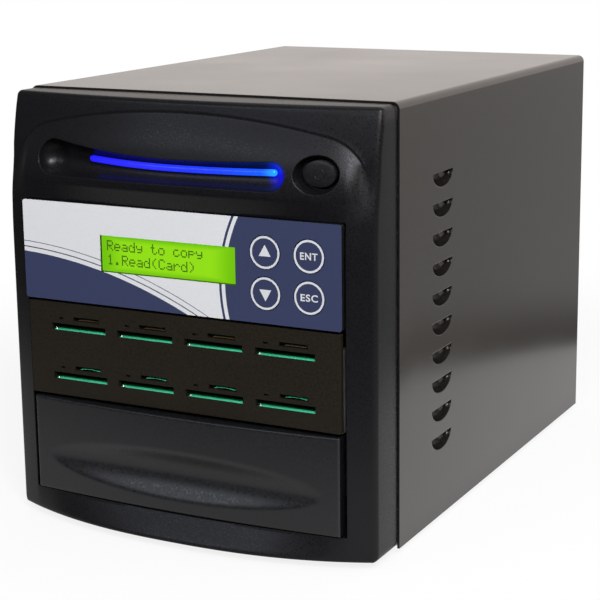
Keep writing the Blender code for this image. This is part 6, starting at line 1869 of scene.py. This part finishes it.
@dataclass
class Rear:
    """The back: round-wire fan guards, cross-recess screws, appliance inlet and mains rocker."""

    wire: float = 0.8
    ring_shares: tuple[float, ...] = (0.22, 0.4)
    hub_half: float = 0.75
    arm_share: float = 0.62
    arm_radius: float = 0.6
    eye_radius: float = 2.8
    eye_wire: float = 0.7
    head_height: float = 1.6
    head_taper: float = 0.86
    recess: Triple = (0.55, 0.13, 0.5)
    thread: Triple = (1.2, 1.48, 0.7)
    inlet_lip: float = 1.5
    inlet_corner: float = 2.0
    inlet_step: float = 1.8
    well_half: Pair = (11.75, 8.25)
    well_cut: float = 4.5
    well_depth: float = 15.5
    pins: tuple[Pair, ...] = ((-7.0, -1.0), (7.0, -1.0), (0.0, 3.0))
    pin_half: Pair = (1.0, 2.0)
    pin_length: float = 10.6
    rocker_axis: Pair = (37.0, 224.0)
    rocker_tilt: float = math.radians(9.0)
    rocker_size: Pair = (7.75, 5.5)
    mark_share: float = 0.54

    def build(self) -> None:
        """Makes every piece of the back."""
        for node in ("case_fan_guard", "supply_fan_guard"):
            self.guard(node)
        for name in sorted(frame["nodes"]):
            if name.startswith(("cover_screw", "supply_screw")):
                self.screw(name)
        self.inlet()
        self.rocker()

    def guard(self, node: str) -> None:
        """A finger guard of round wire welded to crossed arms, with screws through its eyes.

        Args:
            node: The CAD node that it stands for.
        """
        low, high = node_box(node)
        x, z = middle_of(low, high)
        y = low.y + self.wire
        reach = (high.x - low.x) / 2 - self.eye_radius
        size = reach * math.sqrt(2.0) / self.arm_share
        eye = self.eye_radius - 0.75
        parts = [ring((x, y, z), size * share, self.wire) for share in self.ring_shares]
        parts.append(post((x, z), (y - self.hub_half, y + self.hub_half), size * self.ring_shares[0] / 2))
        heads = []
        for across in (-1.0, 1.0):
            for along in (-1.0, 1.0):
                corner = (x + across * reach, y, z + along * reach)
                parts.append(rod((x, y, z), corner, self.arm_radius, sides=16))
                parts.append(ring(corner, eye, self.eye_wire, 40))
                heads.append(self.head((corner[0], corner[2]), y - self.arm_radius, high.y, eye))
        finish_piece(node + "_wires", merged(parts), NICKEL, stands_for=[node])
        finish_piece(node + "_screws", merged(heads), SCREW_ZINC)

    def head(self, place: Pair, start: float, end: float, radius: float) -> Mesh:
        """A pan head with a cross recess, its bearing face at start and its crown at end.

        Args:
            place: The screw's axis in X and Z.
            start: Depth of its bearing face.
            end: Depth of its crown.
            radius: Radius of the head.

        Returns:
            The head.
        """
        height = end - start
        pan = post(place, (start, end), radius, radius * self.head_taper)
        rim = [edge for edge in pan.edges if all(abs(vert.co.y - end) < 0.001 for vert in edge.verts)]
        bevelled(pan, rim, height * 0.35, 4)
        arm, slot, deep = self.recess
        halves = ((radius * arm, radius * slot), (radius * slot, radius * arm))
        cross = [block(place, half, (end - height * deep, end + 1.0)) for half in halves]
        return combined(pan, cross, Operation.CUT)

    def screw(self, node: str) -> None:
        """One machine screw: pan head and a shank with thread ridges.

        Args:
            node: The CAD node that it stands for.
        """
        low, high = node_box(node)
        place = middle_of(low, high)
        bearing = high.y - self.head_height
        core, crest, pitch = self.thread
        shank = [post(place, (low.y, bearing + 0.05), core, sides=24)]
        for turn in range(int((bearing - low.y) / pitch)):
            start = low.y + pitch * turn
            shank.append(post(place, (start, start + pitch / 2), core, crest, 24))
            shank.append(post(place, (start + pitch / 2, start + pitch), crest, core, 24))
        head = self.head(place, bearing, high.y, (high.x - low.x) / 2)
        finish_piece(node + "_pan_head", merged([head, *shank]), SCREW_ZINC, stands_for=[node])

    def inlet(self) -> None:
        """The appliance inlet: flanged body with a chamfered well and three flat pins."""
        low, high = node_box("mains_inlet")
        x, z = middle_of(low, high)
        step = self.inlet_step
        flange = box((low.x, high.y - self.inlet_lip, low.z), high)
        flange = rounded(flange, self.inlet_corner, along=1, segments=5)
        body = box((low.x + step, low.y, low.z + step), (high.x - step, high.y - 0.5, high.z - step))
        well = prism(self.well_outline(x, z), (high.y - self.well_depth, high.y + 2.0))
        solid = combined(rounded(body, 0.8, along=1), [flange], Operation.JOIN)
        solid = combined(solid, [well], Operation.CUT)
        finish_piece("appliance_inlet", solid, NYLON, stands_for=["mains_inlet"])
        floor = high.y - self.well_depth - 0.1
        span = (floor, floor + self.pin_length)
        pins = (block((x + across, z + rise), self.pin_half, span) for across, rise in self.pins)
        finish_piece("inlet_pins", merged(rounded(pin, 0.4) for pin in pins), BRASS)

    def well_outline(self, x: float, z: float) -> list[Pair]:
        """Outline of the connector's well, its upper corners cut off.

        Args:
            x: Middle of the inlet.
            z: Its height.

        Returns:
            The corners in X and Z.
        """
        (half, rise), cut = self.well_half, self.well_cut
        right = [(half, -rise), (half, rise - cut), (half - cut, rise)]
        return [(x + across, z + up) for across, up in right + [(-across, up) for across, up in right[::-1]]]

    def rocker(self) -> None:
        """White marks on the rocker's two faces: a line for on and a ring for off."""
        low, high = node_box("mains_rocker")
        turn = Matrix.Rotation(self.rocker_tilt, 4, "Z")
        place = Matrix.Translation((*self.rocker_axis, (low.z + high.z) / 2)) @ turn
        half, thickness = self.rocker_size
        rise = thickness * math.tan(self.rocker_tilt)
        across = half * self.mark_share
        y = thickness / 2 - rise + 2 * rise * across / half
        line = rod((0, 0, -1.5), (0, 0, 1.5), 0.28, sides=12)
        marks = []
        for side, mark in ((-1.0, line), (1.0, ring((0, 0, 0), 1.4, 0.26, 40))):
            lean = Matrix.Rotation(side * math.atan2(2 * rise, half), 4, "Z")
            flat = Matrix.Diagonal((1.0, 0.25, 1.0, 1.0))
            marks.append(moved(mark, place @ Matrix.Translation((side * across, y, 0.0)) @ lean @ flat))
        finish_piece("rocker_marks", merged(marks), WHITE_INK, Body.ROCKER)


@dataclass
class CarriedNodes:
    """CAD nodes that keep their shape and get a better finish, by the start of their names."""

    finishes: tuple[tuple[Finish, tuple[str, ...]], ...] = (
        (ZINC, ("base_pan", "rear_panel", "supply_case")),
        (INNER_ZINC, ("front_frame", "bay_bracket", "card_bay_tray", "lcd_bay_tray")),
        (BOARD, ("card_board", "controller_board", "keypad_board", "light_board", "supply_board")),
        (SOCKET, ("card_socket",)),
        (CARD_PLASTIC, ("card_faceplate",)),
        (NYLON, ("case_fan", "supply_fan", "mains", "power_switch")),
        (ALUMINIUM, ("controller_heatsink",)),
        (RUBBER, ("foot",)),
        (RIBBON, ("data_ribbon",)),
        (HARNESS, ("power_harness",)),
    )

    def dress(self) -> None:
        """Gives each shown node its finish."""
        for name, node in frame["nodes"].items():
            for finish, starts in self.finishes:
                if not name.startswith(starts):
                    continue
                for slot in node.material_slots:
                    slot.material = material_of(finish)
                LOG.info("%s: %s", name, finish.name)


@dataclass
class Studio:
    """Camera at the photograph's angle, pale floor and soft lamps."""

    eye: Triple = (348.98, -583.77, 254.57)
    right: Triple = (0.893425, 0.449119, -0.008978)
    down: Triple = (0.086786, -0.192175, -0.977515)
    focal_px: float = 1660.0
    frame_px: float = 600.0
    centre_px: Pair = (325.0, 270.0)
    aim: Triple = (0.0, 0.0, 0.09)
    floor_half_m: float = 6.0
    backdrop: Quad = (0.1, 0.98, 0.12, 0.95)
    fill_share: float = 0.9

    def build(self) -> None:
        """Makes the camera, the floor, the lamps and the world."""
        self.camera()
        self.floor()
        self.lamp("top_softbox", (0.0, 0.1, 1.3), (1.1, 1.1), 2.5)
        self.lamp("left_window", (-0.58, -1.25, 0.84), (0.85, 0.3), 2.4, "#e8efff")
        self.lamp("front_softbox", (0.36, -1.25, 0.9), (0.4, 0.4), 6.4, "#f2f5ff")
        self.lamp("key_softbox", (0.9, -1.1, 1.2), (0.5, 0.5), 23.0)
        self.lamp("right_softbox", (1.25, 0.3, 0.8), (0.7, 0.7), 4.5, "#ffeedd")
        self.world()

    def camera(self) -> None:
        """The camera that was fitted to the photograph."""
        camera = bpy.data.cameras.new("photo_camera")
        camera.sensor_width = 36.0
        camera.lens = self.focal_px / self.frame_px * camera.sensor_width
        camera.shift_x = -(self.centre_px[0] / self.frame_px - 0.5)
        camera.shift_y = self.centre_px[1] / self.frame_px - 0.5
        camera.clip_end = 20.0
        right, up = Vector(self.right), -Vector(self.down)
        turn = Matrix((right, up, right.cross(up))).transposed().to_4x4()
        holder = linked("photo_camera", camera)
        holder.matrix_world = Matrix.Translation(PLACE @ Vector(self.eye)) @ turn
        bpy.context.scene.camera = holder
        bpy.context.scene.view_settings.view_transform = "Standard"

    def floor(self) -> None:
        """The floor, a hair under the feet."""
        bm = bmesh.new()
        bmesh.ops.create_grid(bm, x_segments=1, y_segments=1, size=self.floor_half_m)
        mesh = mesh_of("studio_floor", bm)
        mesh.transform(Matrix.Translation((0.0, 0.0, -0.0002)))
        mesh.materials.append(material_of(FLOOR))
        made = linked("studio_floor", mesh)

    def lamp(self, name: str, place: Point, size: Pair, power: float, tint: str = "#ffffff") -> None:
        """A rectangular softbox aimed at the object.

        Args:
            name: The lamp's name.
            place: Where it stands.
            size: Width and height.
            power: Watts.
            tint: Colour of its light.
        """
        light = bpy.data.lights.new(name, "AREA")
        light.shape = "RECTANGLE"
        light.size, light.size_y = size
        light.energy = power
        light.color = linear(tint)[:3]
        way = Vector(self.aim) - Vector(place)
        holder = linked(name, light)
        holder.matrix_world = Matrix.Translation(place) @ way.to_track_quat("-Z", "Y").to_matrix().to_4x4()
        holder.visible_camera = False

    def world(self) -> None:
        """A white backdrop behind for camera, mirrors and glass, and dim light from all round."""
        world = bpy.data.worlds.new("studio")
        bpy.context.scene.world = world
        shader = Shader("studio", world)
        low, high, dim, full = self.backdrop
        ends = {0: shader.add("SeparateXYZ", {0: shader.place}, "Y"), 1: low, 2: high, 3: dim, 4: full}
        back = shader.add("MapRange", ends, **SMOOTH)
        kinds = ("Camera", "Glossy", "Transmission")
        camera, gloss, glass = (shader.add("LightPath", out=f"Is {kind} Ray") for kind in kinds)
        mirror = shader.add("Math", {0: gloss, 1: glass}, operation="MAXIMUM")
        share = shader.add("MapRange", {0: mirror, 3: self.fill_share, 4: 1.0})
        light = shader.add("Math", {0: back, 1: share}, operation="MULTIPLY")
        seen = shader.add("Math", {0: camera, 1: light}, operation="MAXIMUM")
        tone = shader.add("Mix", {0: camera, 6: linear("#fff7f3"), 7: linear("#ffffff")}, **COLOURS)
        shader.join(shader.surface, {"Color": tone, "Strength": seen})


def main() -> None:
    """Builds every piece in order."""
    logging.basicConfig(level=logging.INFO, format="%(message)s")
    for part in (Studio(), Cover(), Bezel(), DisplayBay(), CardBay(), BlankCover(), Rear()):
        LOG.info("building %s", type(part).__name__)
        part.build()
    CarriedNodes().dress()


if __name__ == "__main__":
    main()
